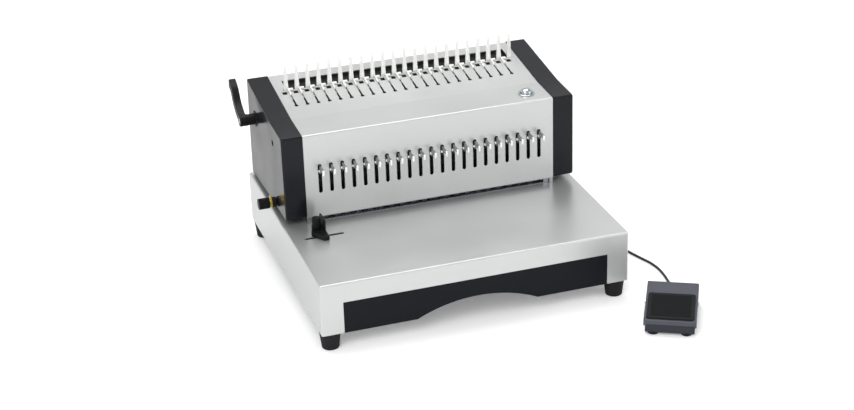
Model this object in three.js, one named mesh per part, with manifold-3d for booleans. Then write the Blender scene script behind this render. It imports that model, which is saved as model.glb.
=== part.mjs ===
// Electric comb binding machine with a foot pedal, in millimetres, +Z up.
// The machine stands along X, its front faces -Y, and Y is zero at the front face of the base.
import * as THREE from 'three';
import { mergeVertices } from 'three/addons/utils/BufferGeometryUtils.js';
import Module from 'manifold-3d';

const wasm = await Module();
wasm.setup();

// Clearances that the whole machine shares
const fit = 0.3;
const overrun = 3;

// Ring grid: an A4 sheet takes 21 rings
const ringCount = 21;
const ringPitch = 14.2875;
const halfGrid = (ringCount - 1) / 2;
const gridReach = halfGrid * ringPitch;

// Side frames, beyond the first and the last ring
const frameSetoff = 15.325;
const frameThickness = 4;
const frameInnerX = gridReach + frameSetoff;
const frameRailY = 324;
const frameRailHeight = 50;

// Base
const baseWidth = 387;
const baseDepth = 343.6;
const baseBackY = 343.6;
const baseFrontY = baseBackY - baseDepth;
const baseTop = 87.3;
const baseSheet = 1.5;
const baseBend = 3;
const footHeight = 22;
const footTopRadius = 13;
const footBottomRadius = 10.5;
const footEdge = 2;
const footInset = 13;
const footRearY = 330;
const panLip = 12;

// Chip drawer
const panelWidth = 332;
const panelTop = 62;
const panelRecess = 1;
const panelThickness = 2.5;
const panelDrop = 0.8;
const archWidth = 152;
const archRise = 17;
const trayWidth = 300;
const trayClearance = 16;
const trayTop = 58;
const trayWall = 2;
const pocketWidth = 160;
const pocketDepth = 24.5;
const pocketHeight = 15.7;

// Housing cover: the corners of its outer face, seen from the side
const coverWidth = 2 * (frameInnerX + frameThickness);
const coverSheet = 1.5;
const coverBend = 2.5;
const frontBottomY = 164.4;
const frontBottomZ = 95.5;
const frontCreaseY = 165.8;
const frontCreaseZ = 203.8;
const topCreaseY = 217.4;
const topCreaseZ = 206.1;
const backCreaseY = 333.9;
const backCreaseZ = 221.1;
const backBottomY = 338.6;

// End caps
const capDepth = 26.7;
const capInnerX = coverWidth / 2 + fit;
const capOuterX = capInnerX + capDepth;
const capWall = 2.5;
const capProud = 0.8;
const capEdge = 2;
const capCorner = 4.5;
const capTopCorner = 3.2;
const capBossRadius = 4.5;
const capBossInset = 15;
const capBossDrop = 18;
const capMidY = 263;
const capMidZ = 93.3;
const capRearZ = 88.9;
const capHoleY = 210;
const capHoleZ = 182;
const capHoleRadius = 4;

// Front slots and release pulls
const slotWidth = 4.7;
const slotBottom = 126.3;
const slotTop = 164.5;
const pullThickness = 2;
const pullBottom = 150;
const pullTop = 163;
const pullTipY = 148.6;
const pullTailY = 189;
const pullNeckHeight = 4.6;
const pullTipHeight = 7;
const pullTipThickness = 2.2;
const pullTravel = 6;

// Punch: die, pin guide, pins and ram
const pinY = 176;
const pinWidth = 7.9;
const pinDepth = 2.9;
const dieFrontY = 170;
const dieBackY = 188;
const dieTop = 88;
const dieHeight = 12;
const throatHeight = 4.8;
const spacerWidth = 6.9;
const guideFrontY = 169;
const guideHeight = 11.2;
const pinTipLift = 0.3;
const ramBottom = 136;
const ramTop = 170;
const ramFrontY = 169.5;
const ramBackY = 190;
const punchStroke = 20;
const tongueDepth = 9.4;
const tongueBottom = 144;
const tongueHeight = 20;

// Drive: shaft with two eccentrics that run in the ram's two yokes
const driveY = 232;
const driveZ = 150;
const driveShaftRadius = 7;
const eccentricRadius = 16;
const eccentricWidth = 8;
const leftYokeX = -130;
const rightYokeX = 100;
const yokeThickness = 6;
const yokeRim = 6;
const yokePlay = 2.6;
const gearboxLength = 39.9;
const gearboxHalf = 25;
const gearboxCorner = 4;
const motorY = 286;
const motorZ = 137;
const motorRadius = 22;
const motorLength = 68;
const motorNeckRadius = 9;
const motorNeck = 8;

// Depth stop, its cams and the margin knob
const marginY = 210;
const marginZ = 103;
const marginShaftRadius = 3;
const marginCollarRadius = 4;
const marginKnobRadius = 6.8;
const marginKnobSetoff = 10.3;
const marginKnobLength = 13.1;
const marginKnobBack = capOuterX + marginKnobSetoff;
const marginKnobFace = marginKnobBack + marginKnobLength;
const marginKnobRibs = 14;
const marginRibDepth = 0.7;
const camLowRadius = 6;
const camRise = 3;
const camX = 120;
const camWidth = 6;
const stopSetoff = 8.2;
const stopWidth = 2 * (frameInnerX - stopSetoff);
const stopFrontY = 181;
const stopThickness = 3.2;
const stopTabWidth = 12;
const stopTabThickness = 3;
const stopTabTop = 111;

// Comb opener: fingers, channel, hooks, racks and pinions
const fingerCount = ringCount + 1;
const fingerSetoff = 5.425;
const firstFingerX = -gridReach - fingerSetoff;
const fingerFrontY = 291.5;
const fingerSheet = 2.5;
const fingerBaseWidth = 5.4;
const fingerTopWidth = 2.8;
const fingerTop = 248;
const fingerFootDrop = 10;
const fingerFootBack = 331;
const hookShift = 1.7;
const hookThickness = 1.6;
const hookFrontY = 276;
const hookBackY = 289.5;
const hookHeight = 3.2;
const hookLift = 0.7;
const hookTabWidth = 6;
const hookTabDepth = 3.2;
const hookTravel = 27;
const combSlotWidth = 2.2;
const combSlotEndRadius = 2.1;
const combSlotEndY = 249.4;
const sightHoleShift = 4.1;
const sightHoleWidth = 6;
const sightHoleFrontY = 279.5;
const sightHoleBackY = 287;
const windowFrontY = 290;
const windowBackY = 316;
const windowLeftMargin = 2.125;
const windowRightMargin = 8.125;
const windowLeftX = -gridReach - windowLeftMargin;
const windowRightX = gridReach + windowRightMargin;
const windowEdge = 6.5;
const channelSheet = 1.2;
const carriageFrontY = 268;
const carriageSheet = 2;
const rackX = 140;
const rackWidth = 5;
const rackBarHeight = 5;
const rackBack = 28;
const gearModule = 1.24;
const gearTeeth = 25;
const gearTeethKept = 9;
const gearBacklash = 0.25;
const gearRootShare = 1.25;
const pressureAngle = THREE.MathUtils.degToRad(20);
const openerY = 299;
const openerZ = 179.9;
const openerShaftRadius = 5;

// Opener handle
const hubRadius = 7.5;
const hubLength = 20.8;
const hubFace = capOuterX + hubLength;
const hubBoreDepth = 14;
const armThickness = 8;
const armInset = 0.5;
const armBaseWidth = 13;
const armTipWidth = 10;
const armControlY = 28.5;
const armControlZ = 15.5;
const armTipY = 50.8;
const armTipZ = 36.9;

// Push button
const buttonX = 135.7;
const buttonY = 189.8;
const buttonRadius = 7.4;
const buttonDome = 3.4;
const buttonLength = 12;
const buttonTravel = 2;
const bezelWall = 1.3;
const bezelFlange = 1.6;
const bezelHeight = 1.3;
const bezelLength = 9;

// Edge guide and its clamp knob
const guideSlotY = 126;
const guideSlotWidth = 5;
const guideSlotLeftX = -177;
const guideSlotRightX = -127;
const guideLeftX = -167.4;
const guideRightX = -148.7;
const guideFrontEdgeY = 112.2;
const guideBackEdgeY = 150;
const guideWideFrontY = 129.6;
const guideWideBackY = 143;
const guideNarrowX = -155.7;
const guideChamferX = -161;
const guideBlockHeight = 5.7;
const guideKeyLength = 12;
const guideKeyDrop = 4;
const fenceThickness = 2.5;
const fenceHeight = 19.5;
const fenceLowHeight = 8.5;
const fenceRiseY = 131;
const clampX = -157.8;
const clampY = 138;
const clampRadius = 4.9;
const clampHeight = 14.5;
const clampStemRadius = 2;
const clampRibs = 12;
const clampRibDepth = 0.6;
const clampDome = 1.2;

// Control board
const boardX = -20;
const boardWidth = 90;
const boardFrontY = 248;
const trayBack = boardFrontY - trayClearance;
const boardDepth = 70;
const boardThickness = 1.6;
const boardLift = 6;
const boardPostRadius = 3;

// Mains inlet with its rocker switch, in the back face
const inletX = -120;
const inletZ = 54;
const inletFlangeWidth = 31;
const inletFlangeHeight = 48;
const inletFlange = 2.2;
const inletBodyWidth = 27;
const inletBodyHeight = 44;
const inletBodyDepth = 22;
const inletWellWidth = 23.5;
const inletWellHeight = 16;
const inletWellDepth = 15;
const inletWellDrop = 11;
const inletCorner = 4;
const inletBladeWidth = 2;
const inletBladeHeight = 4;
const inletBladeGap = 7;
const rockerRise = 11.5;
const rockerWidth = 19;
const rockerHeight = 12;
const rockerSwing = 1.1;
const rockerDepth = 8;
const rockerProud = 1.6;
const rockerTilt = THREE.MathUtils.degToRad(7);

// Foot pedal, in its own frame: x across, y from front to back
const pedalX = 170.3;
const pedalSetoff = 94.9;
const pedalY = baseFrontY - pedalSetoff;
const pedalTurn = THREE.MathUtils.degToRad(-28.15);
const pedalWidth = 62;
const pedalLength = 86;
const pedalSheet = 1.5;
const pedalFrontZ = 20.6;
const pedalBackZ = 27;
const pedalSkirt = 8.4;
const pedalEarHalf = 9;
const pedalLip = 6;
const pedalPivotY = 58;
const pedalPivotZ = 14;
const pedalPinRadius = 2;
const pedalHeadRadius = 3.4;
const pedalHeadLength = 2;
const pedalSideGap = 0.5;
const pedalFootHeight = 3;
const pedalFootRadius = 5;
const pedalFootInset = 9;
const pedalWallTop = 14;
const pedalBackWallTop = 16;
const pedalWallInset = 2.6;
const pedalBackInset = 2;
const pedalPostTop = 19.2;
const pedalPostHalf = 7;
const treadSideInset = 3.8;
const treadFront = 2.6;
const treadBack = 57;
const treadHeight = 1.8;
const treadBevel = 0.6;
const treadCorner = 2;
const springWire = 1.2;
const springTurns = 4;
const springLegReach = 14;

// Pedal cord, its gland and grommet
const cordDiameter = 3.2;
const cordFloorZ = 1.7;
const glandX = 165;
const glandZ = 45;
const glandRadius = 4.6;
const glandLength = 10;
const glandFlangeRadius = 6;
const glandFlange = 2;
const grommetLength = 8;
const pedalCordZ = 9;
const coilX = 222;
const coilY = 300;
const coilTurns = 8;
const coilLayers = 4;
const coilPitch = 3.65;
const coilInnerRadius = 14.2;

// Facet counts
const bendSteps = 3;
const slotEndSteps = 4;
const smallRoundSides = 12;
const roundSides = 20;

// Sizes that follow from those above
const ringX = (index) => (index - halfGrid) * ringPitch;
const fingerX = (index) => firstFingerX + index * ringPitch;
const deckSlope = Math.atan2(backCreaseZ - topCreaseZ, backCreaseY - topCreaseY);
const stripSlope = Math.atan2(topCreaseZ - frontCreaseZ, topCreaseY - frontCreaseY);
const deckZ = (y) => topCreaseZ + (y - topCreaseY) * Math.tan(deckSlope);
const along = (y) => (y - topCreaseY) / Math.cos(deckSlope);
const pitchRadius = (gearModule * gearTeeth) / 2;
const crankThrow = punchStroke / 2;
const guideBottom = dieTop + throatHeight;
const frameOuterX = frameInnerX + frameThickness;
const panTop = footHeight + baseSheet;
const openerAlong = (openerY - topCreaseY) * Math.cos(deckSlope) + (openerZ - topCreaseZ) * Math.sin(deckSlope);
const openerDepth = (openerZ - topCreaseZ) * Math.cos(deckSlope) - (openerY - topCreaseY) * Math.sin(deckSlope);
const pedalSlope = Math.atan2(pedalBackZ - pedalFrontZ, pedalLength);

// Finishes
const finishes = {
  sheet: { color: 0xc4c8c9, roughness: 0.42, metalness: 0.55 },
  cap: { color: 0x26282b, roughness: 0.34, metalness: 0 },
  drawer: { color: 0x1d2229, roughness: 0.45, metalness: 0 },
  rubber: { color: 0x1c1d1f, roughness: 0.85, metalness: 0 },
  steel: { color: 0xb9bcbf, roughness: 0.3, metalness: 1 },
  bright: { color: 0xe2e3e4, roughness: 0.18, metalness: 1 },
  zinc: { color: 0xc9a64a, roughness: 0.38, metalness: 1 },
  brass: { color: 0xb58a3c, roughness: 0.3, metalness: 1 },
  dark: { color: 0x2a2b2e, roughness: 0.5, metalness: 0.2 },
  pedal: { color: 0x55565e, roughness: 0.5, metalness: 0.4 },
  board: { color: 0x2f6b3d, roughness: 0.6, metalness: 0 },
  cord: { color: 0x17181a, roughness: 0.6, metalness: 0 },
};

// Geometry helpers

const point = (a, b) => new THREE.Vector2(a, b);

function solidOf(geometry) {
  const bare = geometry.clone();
  bare.deleteAttribute('normal');
  bare.deleteAttribute('uv');
  const welded = mergeVertices(bare);
  const source = welded.index.array;
  const kept = [];
  for (let i = 0; i < source.length; i += 3) {
    const [a, b, c] = [source[i], source[i + 1], source[i + 2]];
    if (a !== b && b !== c && c !== a) kept.push(a, b, c);
  }
  const vertProperties = new Float32Array(welded.attributes.position.array);
  const triVerts = new Uint32Array(kept);
  return new wasm.Manifold(new wasm.Mesh({ numProp: 3, vertProperties, triVerts }));
}

function named(name, solid, finish) {
  const mesh = solid.getMesh();
  const geometry = new THREE.BufferGeometry();
  geometry.setAttribute('position', new THREE.BufferAttribute(new Float32Array(mesh.vertProperties), 3));
  geometry.setIndex(new THREE.BufferAttribute(new Uint32Array(mesh.triVerts), 1));
  geometry.computeVertexNormals();
  const part = new THREE.Mesh(geometry, new THREE.MeshStandardMaterial(finishes[finish]));
  part.name = name;
  return part;
}

const joined = (solids) => solids.reduce((sum, solid) => sum.add(solid));
const without = (solid, cutters) => cutters.reduce((rest, cutter) => rest.subtract(cutter), solid);

const acrossX = new THREE.Matrix4().makeBasis(
  new THREE.Vector3(0, 1, 0), new THREE.Vector3(0, 0, 1), new THREE.Vector3(1, 0, 0),
);
const acrossY = new THREE.Matrix4().makeBasis(
  new THREE.Vector3(1, 0, 0), new THREE.Vector3(0, 0, 1), new THREE.Vector3(0, -1, 0),
);

function extruded(outline, depth, holes = []) {
  const shape = new THREE.Shape(outline);
  for (const hole of holes) shape.holes.push(new THREE.Path(hole));
  return new THREE.ExtrudeGeometry(shape, { depth, bevelEnabled: false });
}

// A prism whose outline lies in Y and Z, from x0 to x1
function prismX(outline, x0, x1, holes) {
  const geometry = extruded(outline, x1 - x0, holes);
  geometry.translate(0, 0, x0);
  return solidOf(geometry.applyMatrix4(acrossX));
}

// A prism whose outline lies in X and Z, from y0 to y1
function prismY(outline, y0, y1, holes) {
  const geometry = extruded(outline, y1 - y0, holes);
  geometry.translate(0, 0, -y1);
  return solidOf(geometry.applyMatrix4(acrossY));
}

// A prism whose outline lies in X and Y, from z0 to z1
function prismZ(outline, z0, z1, holes) {
  const geometry = extruded(outline, z1 - z0, holes);
  geometry.translate(0, 0, z0);
  return solidOf(geometry);
}

function block(x0, x1, y0, y1, z0, z1) {
  return prismZ(rectangle(x0, x1, y0, y1), z0, z1);
}

function rectangle(a0, a1, b0, b1) {
  return [point(a0, b0), point(a1, b0), point(a1, b1), point(a0, b1)];
}

function arc(a, b, radius, from, to, steps) {
  const points = [];
  for (let i = 0; i <= steps; i += 1) {
    const angle = from + ((to - from) * i) / steps;
    points.push(point(a + radius * Math.cos(angle), b + radius * Math.sin(angle)));
  }
  return points;
}

const circle = (a, b, radius, sides) => arc(a, b, radius, 0, 2 * Math.PI, sides).slice(0, sides);

// An upright slot outline with round ends, centred on a, from b0 to b1
function roundSlot(a, b0, b1, width, steps = slotEndSteps) {
  const radius = width / 2;
  const lower = arc(a, b0 + radius, radius, Math.PI, 2 * Math.PI, steps);
  const upper = arc(a, b1 - radius, radius, 0, Math.PI, steps);
  return [...lower, ...upper];
}

// The arc that rounds the corner between before and after
function roundedCorner(before, corner, after, radius, steps) {
  const toBefore = before.clone().sub(corner).normalize();
  const toAfter = after.clone().sub(corner).normalize();
  const half = Math.acos(THREE.MathUtils.clamp(toBefore.dot(toAfter), -1, 1)) / 2;
  const centre = toBefore.clone().add(toAfter).normalize().multiplyScalar(radius / Math.sin(half)).add(corner);
  const start = toBefore.clone().multiplyScalar(radius / Math.tan(half)).add(corner).sub(centre);
  const end = toAfter.clone().multiplyScalar(radius / Math.tan(half)).add(corner).sub(centre);
  let sweep = end.angle() - start.angle();
  if (sweep > Math.PI) sweep -= 2 * Math.PI;
  if (sweep < -Math.PI) sweep += 2 * Math.PI;
  return arc(centre.x, centre.y, radius, start.angle(), start.angle() + sweep, steps);
}

// A closed outline with its corners rounded; radii holds one radius, or one for each corner
function rounded(corners, radii, steps = bendSteps) {
  const count = corners.length;
  return corners.flatMap((corner, i) => {
    const radius = Array.isArray(radii) ? radii[i] : radii;
    if (radius === 0) return [corner];
    return roundedCorner(corners[(i + count - 1) % count], corner, corners[(i + 1) % count], radius, steps);
  });
}

// An open path with its inner corners rounded
function roundedPath(path, radius, steps = bendSteps) {
  const bends = path.slice(1, -1).flatMap((corner, i) => (
    radius > 0 ? roundedCorner(path[i], corner, path[i + 2], radius, steps) : [corner]
  ));
  return [path[0], ...bends, path[path.length - 1]];
}

// The same path moved to its right by a distance
function movedRight(path, distance) {
  const normals = path.slice(1).map((end, i) => {
    const direction = end.clone().sub(path[i]).normalize();
    return point(direction.y, -direction.x);
  });
  return path.map((corner, i) => {
    const first = normals[Math.max(i - 1, 0)];
    const second = normals[Math.min(i, normals.length - 1)];
    const mitre = first.clone().add(second).normalize();
    return mitre.multiplyScalar(distance / mitre.dot(first)).add(corner);
  });
}

// The closed outline of a sheet bent along a path, with its thickness on the right of the path
function bentSheet(path, thickness, bend) {
  const outer = roundedPath(path, bend);
  const inner = roundedPath(movedRight(path, thickness), Math.max(bend - thickness, 0));
  return [...outer, ...inner.reverse()];
}

const rodX = (y, z, radius, x0, x1, sides = roundSides) => prismX(circle(y, z, radius, sides), x0, x1);
const rodY = (x, z, radius, y0, y1, sides = smallRoundSides) => prismY(circle(x, z, radius, sides), y0, y1);
const rodZ = (x, y, radius, z0, z1, sides = smallRoundSides) => prismZ(circle(x, y, radius, sides), z0, z1);

// A solid turned about Z from a profile of radius and height, listed from bottom to top
function turned(profile, sides = roundSides) {
  const geometry = new THREE.LatheGeometry(profile, sides);
  geometry.rotateX(Math.PI / 2);
  return solidOf(geometry);
}

// A ribbed outline round the origin
function ribbedOutline(radius, ribs, depth) {
  const points = [];
  const share = [0, 0.5, 0.6, 0.9];
  for (let i = 0; i < ribs; i += 1) {
    share.forEach((step, k) => {
      const angle = ((i + step) * 2 * Math.PI) / ribs;
      const reach = k < 2 ? radius : radius - depth;
      points.push(point(reach * Math.cos(angle), reach * Math.sin(angle)));
    });
  }
  return points;
}

// Base

function boxWithBentTop(inset) {
  const halfX = baseWidth / 2 - inset;
  const bend = Math.max(baseBend - inset, 0);
  const top = baseTop - inset;
  const bottom = footHeight - (inset > 0 ? overrun : 0);
  const fromFront = rounded(rectangle(-halfX, halfX, bottom, top), [0, 0, bend, bend]);
  const front = baseFrontY + inset;
  const back = baseBackY - inset;
  const fromSide = rounded(rectangle(front, back, bottom, top), [0, 0, bend, bend]);
  return prismY(fromFront, front, back).intersect(prismX(fromSide, -halfX, halfX));
}

function baseShell() {
  const halfPanel = panelWidth / 2;
  const slotOutline = roundSlot(guideSlotY, guideSlotLeftX, guideSlotRightX, guideSlotWidth).map((p) => point(p.y, p.x));
  const cutters = [
    block(
      -halfPanel, halfPanel, baseFrontY - overrun, baseFrontY + baseSheet + overrun, footHeight - overrun, panelTop,
    ),
    block(-frameInnerX, frameInnerX, dieFrontY - fit, dieBackY + fit, baseTop - overrun, baseTop + overrun),
    prismZ(slotOutline.reverse(), baseTop - overrun, baseTop + overrun),
    block(
      inletX - inletBodyWidth / 2 - fit, inletX + inletBodyWidth / 2 + fit, baseBackY - overrun, baseBackY + overrun,
      inletZ - inletBodyHeight / 2 - fit, inletZ + inletBodyHeight / 2 + fit,
    ),
    rodY(glandX, glandZ, glandRadius + fit, baseBackY - overrun, baseBackY + overrun),
  ];
  return named('base_shell', without(boxWithBentTop(0).subtract(boxWithBentTop(baseSheet)), cutters), 'sheet');
}

function bottomPan() {
  const half = baseWidth / 2 - baseSheet - fit;
  const front = baseFrontY + panelRecess + panelThickness + fit;
  const path = [
    point(-half, footHeight + panLip), point(-half, footHeight), point(half, footHeight), point(half, footHeight + panLip),
  ];
  const outline = bentSheet(path.reverse(), baseSheet, baseBend);
  return named('bottom_pan', prismY(outline, front, baseBackY - baseSheet - fit), 'steel');
}

function rubberFoot(end, side) {
  const profile = [
    point(0, 0), ...arc(footBottomRadius - footEdge, footEdge, footEdge, -Math.PI / 2, 0, bendSteps),
    point(footTopRadius, footHeight - fit), point(0, footHeight - fit),
  ];
  const foot = named(`${end}_${side}_foot`, turned(profile, roundSides), 'rubber');
  foot.position.x = (side === 'left' ? -1 : 1) * (baseWidth / 2 - footTopRadius);
  foot.position.y = end === 'front' ? baseFrontY + footInset : footRearY;
  return foot;
}

function chipDrawer() {
  const halfPanel = panelWidth / 2 - fit;
  const bottom = footHeight - panelDrop;
  const halfArch = archWidth / 2;
  const archRadius = (halfArch ** 2 + archRise ** 2) / (2 * archRise);
  const archAngle = Math.asin(halfArch / archRadius);
  const archCentre = bottom + archRise - archRadius;
  const archPoints = arc(0, archCentre, archRadius, Math.PI / 2 + archAngle, Math.PI / 2 - archAngle, 2 * slotEndSteps);
  const outline = [
    point(-halfPanel, bottom), ...archPoints, point(halfPanel, bottom),
    point(halfPanel, panelTop - fit), point(-halfPanel, panelTop - fit),
  ];
  const panelFront = baseFrontY + panelRecess;
  const panelBack = panelFront + panelThickness;
  const panel = prismY(outline, panelFront, panelBack);
  const halfTray = trayWidth / 2;
  const floor = panTop + fit;
  const pocketTop = floor + pocketHeight;
  const halfPocket = pocketWidth / 2;
  const pocketBack = panelBack + pocketDepth;
  const tray = block(-halfTray, halfTray, panelBack, trayBack, floor, trayTop)
    .subtract(block(
      trayWall - halfTray, halfTray - trayWall, panelBack + trayWall, trayBack - trayWall, floor + trayWall,
      trayTop + overrun,
    ))
    .add(block(
      -halfPocket - trayWall, halfPocket + trayWall, panelBack, pocketBack + trayWall, floor, pocketTop + trayWall,
    ))
    .subtract(block(-halfPocket, halfPocket, panelBack - overrun, pocketBack, floor - overrun, pocketTop));
  return named('chip_drawer', tray.add(panel), 'drawer');
}

// Housing

const coverPath = [
  point(frontBottomY, frontBottomZ), point(frontCreaseY, frontCreaseZ), point(topCreaseY, topCreaseZ),
  point(backCreaseY, backCreaseZ), point(backBottomY, baseTop + fit),
];

// Moves a solid made in deck coordinates (x across, y along the slope, z off it) to the deck
function ontoDeck(solid) {
  return solid.rotate([THREE.MathUtils.radToDeg(deckSlope), 0, 0]).translate([0, topCreaseY, topCreaseZ]);
}

function combSlotOutline() {
  const halfWidth = combSlotWidth / 2;
  const start = Math.asin(halfWidth / combSlotEndRadius);
  const end = arc(0, along(combSlotEndY), combSlotEndRadius, Math.PI / 2 + start, 2.5 * Math.PI - start, slotEndSteps + 2);
  const back = along(windowFrontY) + fit;
  return [...end, point(halfWidth, back), point(-halfWidth, back)];
}

function housingCover() {
  const half = coverWidth / 2;
  const sheet = prismX(bentSheet(coverPath, coverSheet, coverBend), -half, half);
  const depth = overrun + coverSheet;
  const frontSlot = prismY(roundSlot(0, slotBottom, slotTop, slotWidth), frontBottomY - overrun, frontCreaseY + depth);
  const combSlot = prismZ(combSlotOutline(), -depth, overrun);
  const sightHole = prismZ(
    rectangle(-sightHoleWidth / 2, sightHoleWidth / 2, along(sightHoleFrontY), along(sightHoleBackY)), -depth, overrun,
  );
  const window = prismZ(
    rectangle(windowLeftX - windowEdge, windowRightX + windowEdge, along(windowFrontY), along(windowBackY)),
    -depth, overrun,
  );
  const deckCuts = [window];
  for (let i = 0; i < ringCount; i += 1) deckCuts.push(combSlot.translate([fingerX(i) + hookShift, 0, 0]));
  for (let j = 0; j < fingerCount; j += 1) deckCuts.push(sightHole.translate([fingerX(j) - sightHoleShift, 0, 0]));
  const cutters = deckCuts.map(ontoDeck);
  for (let i = 0; i < ringCount; i += 1) cutters.push(frontSlot.translate([ringX(i), 0, 0]));
  const buttonHole = rodZ(0, 0, buttonRadius + fit + bezelWall + fit, -depth, overrun, roundSides);
  cutters.push(ontoStrip(buttonHole));
  return named('housing_cover', without(sheet, cutters), 'sheet');
}

// Moves a solid made round the button's axis to its place on the strip in front of the deck
function ontoStrip(solid) {
  const z = frontCreaseZ + (buttonY - frontCreaseY) * Math.tan(stripSlope);
  return solid.rotate([THREE.MathUtils.radToDeg(stripSlope), 0, 0]).translate([buttonX, buttonY, z]);
}

const capPath = () => {
  const path = movedRight(coverPath, -capProud);
  path[path.length - 1] = point(path[path.length - 1].x, capRearZ);
  return [...path, point(capMidY, capMidZ)];
};
const capBosses = [
  [frontCreaseY + capBossInset, frontCreaseZ - capBossDrop], [backCreaseY - capBossInset, backCreaseZ - capBossDrop],
  [openerY, marginZ + capBossDrop],
];

// One end cap for the side given by sign: -1 is the left, 1 the right
function capSolid(sign) {
  const corners = capPath();
  const radii = [capCorner, capTopCorner, 0, capTopCorner, capTopCorner, 0];
  const outline = rounded(corners, radii);
  const shape = new THREE.Shape(outline);
  const depth = capOuterX - capInnerX;
  const bevelled = new THREE.ExtrudeGeometry(shape, {
    depth, bevelEnabled: true, bevelSize: capEdge, bevelThickness: capEdge, bevelOffset: -capEdge, bevelSegments: bendSteps,
  });
  bevelled.translate(0, 0, capInnerX - capEdge);
  const outer = solidOf(bevelled.applyMatrix4(acrossX)).trimByPlane([1, 0, 0], capInnerX);
  const hollow = prismX(insetOutline(corners, capWall), capInnerX - overrun, capOuterX - capWall);
  const bosses = capBosses.map(([y, z]) => (
    rodX(y, z, capBossRadius, capInnerX, capOuterX - capWall / 2, smallRoundSides)
  ));
  const solid = joined([outer.subtract(hollow), ...bosses]);
  return sign > 0 ? solid : solid.mirror([1, 0, 0]);
}

// A closed, clockwise outline moved inwards by a wall
function insetOutline(corners, wall) {
  const count = corners.length;
  return corners.map((corner, i) => {
    const before = corners[(i + count - 1) % count];
    const after = corners[(i + 1) % count];
    return movedRight([before, corner, after], wall)[1];
  });
}

function leftEndCap() {
  const cuts = [
    rodX(openerY, openerZ, openerShaftRadius + fit, -capOuterX - overrun, -capInnerX),
    rodX(marginY, marginZ, marginCollarRadius + fit, -capOuterX - overrun, -capInnerX, smallRoundSides),
    rodX(capHoleY, capHoleZ, capHoleRadius, -capOuterX - overrun, -capInnerX, smallRoundSides),
  ];
  return named('left_end_cap', without(capSolid(-1), cuts), 'cap');
}

const rightEndCap = () => named('right_end_cap', capSolid(1), 'cap');

// Two side plates joined by a rail along the back of the housing
function innerFrame() {
  const path = movedRight(coverPath, coverSheet + fit);
  const bottom = baseTop + fit;
  const front = path[0].x;
  const back = path[path.length - 1].x;
  const corners = [point(front, bottom), ...path.slice(1, -1), point(back, bottom)];
  const plate = prismX(rounded(corners, [0, coverBend, 0, coverBend, 0]), frameInnerX, frameOuterX);
  const tongueY = (ramFrontY + ramBackY) / 2;
  const cuts = [
    rodX(marginY, marginZ, marginShaftRadius + fit, 0, frameOuterX + overrun, smallRoundSides),
    rodX(driveY, driveZ, driveShaftRadius + fit, 0, frameOuterX + overrun),
    rodX(openerY, openerZ, openerShaftRadius + fit, 0, frameOuterX + overrun),
    block(
      0, frameOuterX + overrun, tongueY - tongueDepth / 2 - fit, tongueY + tongueDepth / 2 + fit,
      tongueBottom - punchStroke - fit, tongueBottom + tongueHeight + fit,
    ),
    ontoDeck(block(
      0, frameOuterX + overrun, along(carriageFrontY) - hookTravel - 2 * fit, along(hookBackY) + 2 * fit,
      -coverSheet - 2 * fit - carriageSheet, overrun,
    )),
  ];
  const right = without(plate, cuts);
  const rail = block(
    -frameInnerX - fit, frameInnerX + fit, frameRailY, frameRailY + frameThickness, bottom, bottom + frameRailHeight,
  );
  return named('inner_frame', joined([right, right.mirror([1, 0, 0]), rail]), 'steel');
}

// Punch

function pinHoles(z0, z1) {
  const hole = block(
    -pinWidth / 2 - fit, pinWidth / 2 + fit, pinY - pinDepth / 2 - fit, pinY + pinDepth / 2 + fit, z0, z1,
  );
  return Array.from({ length: ringCount }, (_, i) => hole.translate([ringX(i), 0, 0]));
}

// The die below the paper throat and the pin guide above it, joined by a spacer at each end
function dieSet() {
  const half = frameInnerX - fit;
  const top = guideBottom + guideHeight;
  const die = block(-half, half, dieFrontY, dieBackY, dieTop - dieHeight, dieTop);
  const guide = block(-half, half, guideFrontY, dieBackY, guideBottom, top);
  const spacers = [-half, half - spacerWidth].map((x) => (
    block(x, x + spacerWidth, dieFrontY, dieBackY, dieTop - fit, guideBottom + fit)
  ));
  const holes = pinHoles(dieTop - dieHeight - overrun, top + overrun);
  return named('die_set', without(joined([die, guide, ...spacers]), holes), 'steel');
}

function yokePlate(x) {
  const windowBottom = driveZ + crankThrow - eccentricRadius - yokePlay;
  const windowTop = driveZ + crankThrow + eccentricRadius + yokePlay;
  const windowFront = driveY - crankThrow - eccentricRadius - yokePlay;
  const windowBack = driveY + eccentricRadius + yokePlay;
  const outer = rounded(
    rectangle(ramBackY - overrun, windowBack + yokeRim, windowBottom - yokeRim, windowTop + yokeRim),
    [0, yokeRim, yokeRim, 0],
  );
  const window = rectangle(windowFront, windowBack, windowBottom, windowTop).reverse();
  return prismX(outer, x - yokeThickness / 2, x + yokeThickness / 2, [window]);
}

function punchRam() {
  const half = frameInnerX - 2 * fit;
  const tongueHalf = frameOuterX - fit;
  const tongueY = (ramFrontY + ramBackY) / 2;
  const slotFloor = pullBottom - fit;
  const bar = block(-half, half, ramFrontY, ramBackY, ramBottom, ramTop);
  const tongues = block(
    -tongueHalf, tongueHalf, tongueY - tongueDepth / 2, tongueY + tongueDepth / 2, tongueBottom,
    tongueBottom + tongueHeight,
  );
  const slotHalf = pullThickness / 2 + fit;
  const slot = block(-slotHalf, slotHalf, ramFrontY - overrun, ramBackY + overrun, slotFloor, ramTop + overrun);
  const slots = Array.from({ length: ringCount }, (_, i) => slot.translate([ringX(i), 0, 0]));
  const pin = block(
    -pinWidth / 2, pinWidth / 2, pinY - pinDepth / 2, pinY + pinDepth / 2, guideBottom + pinTipLift, ramBottom + fit,
  );
  const pins = Array.from({ length: ringCount }, (_, i) => pin.translate([ringX(i), 0, 0]));
  const whole = joined([bar, tongues, yokePlate(leftYokeX), yokePlate(rightYokeX), ...pins]);
  return named('punch_ram', without(whole, slots), 'steel');
}

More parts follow.
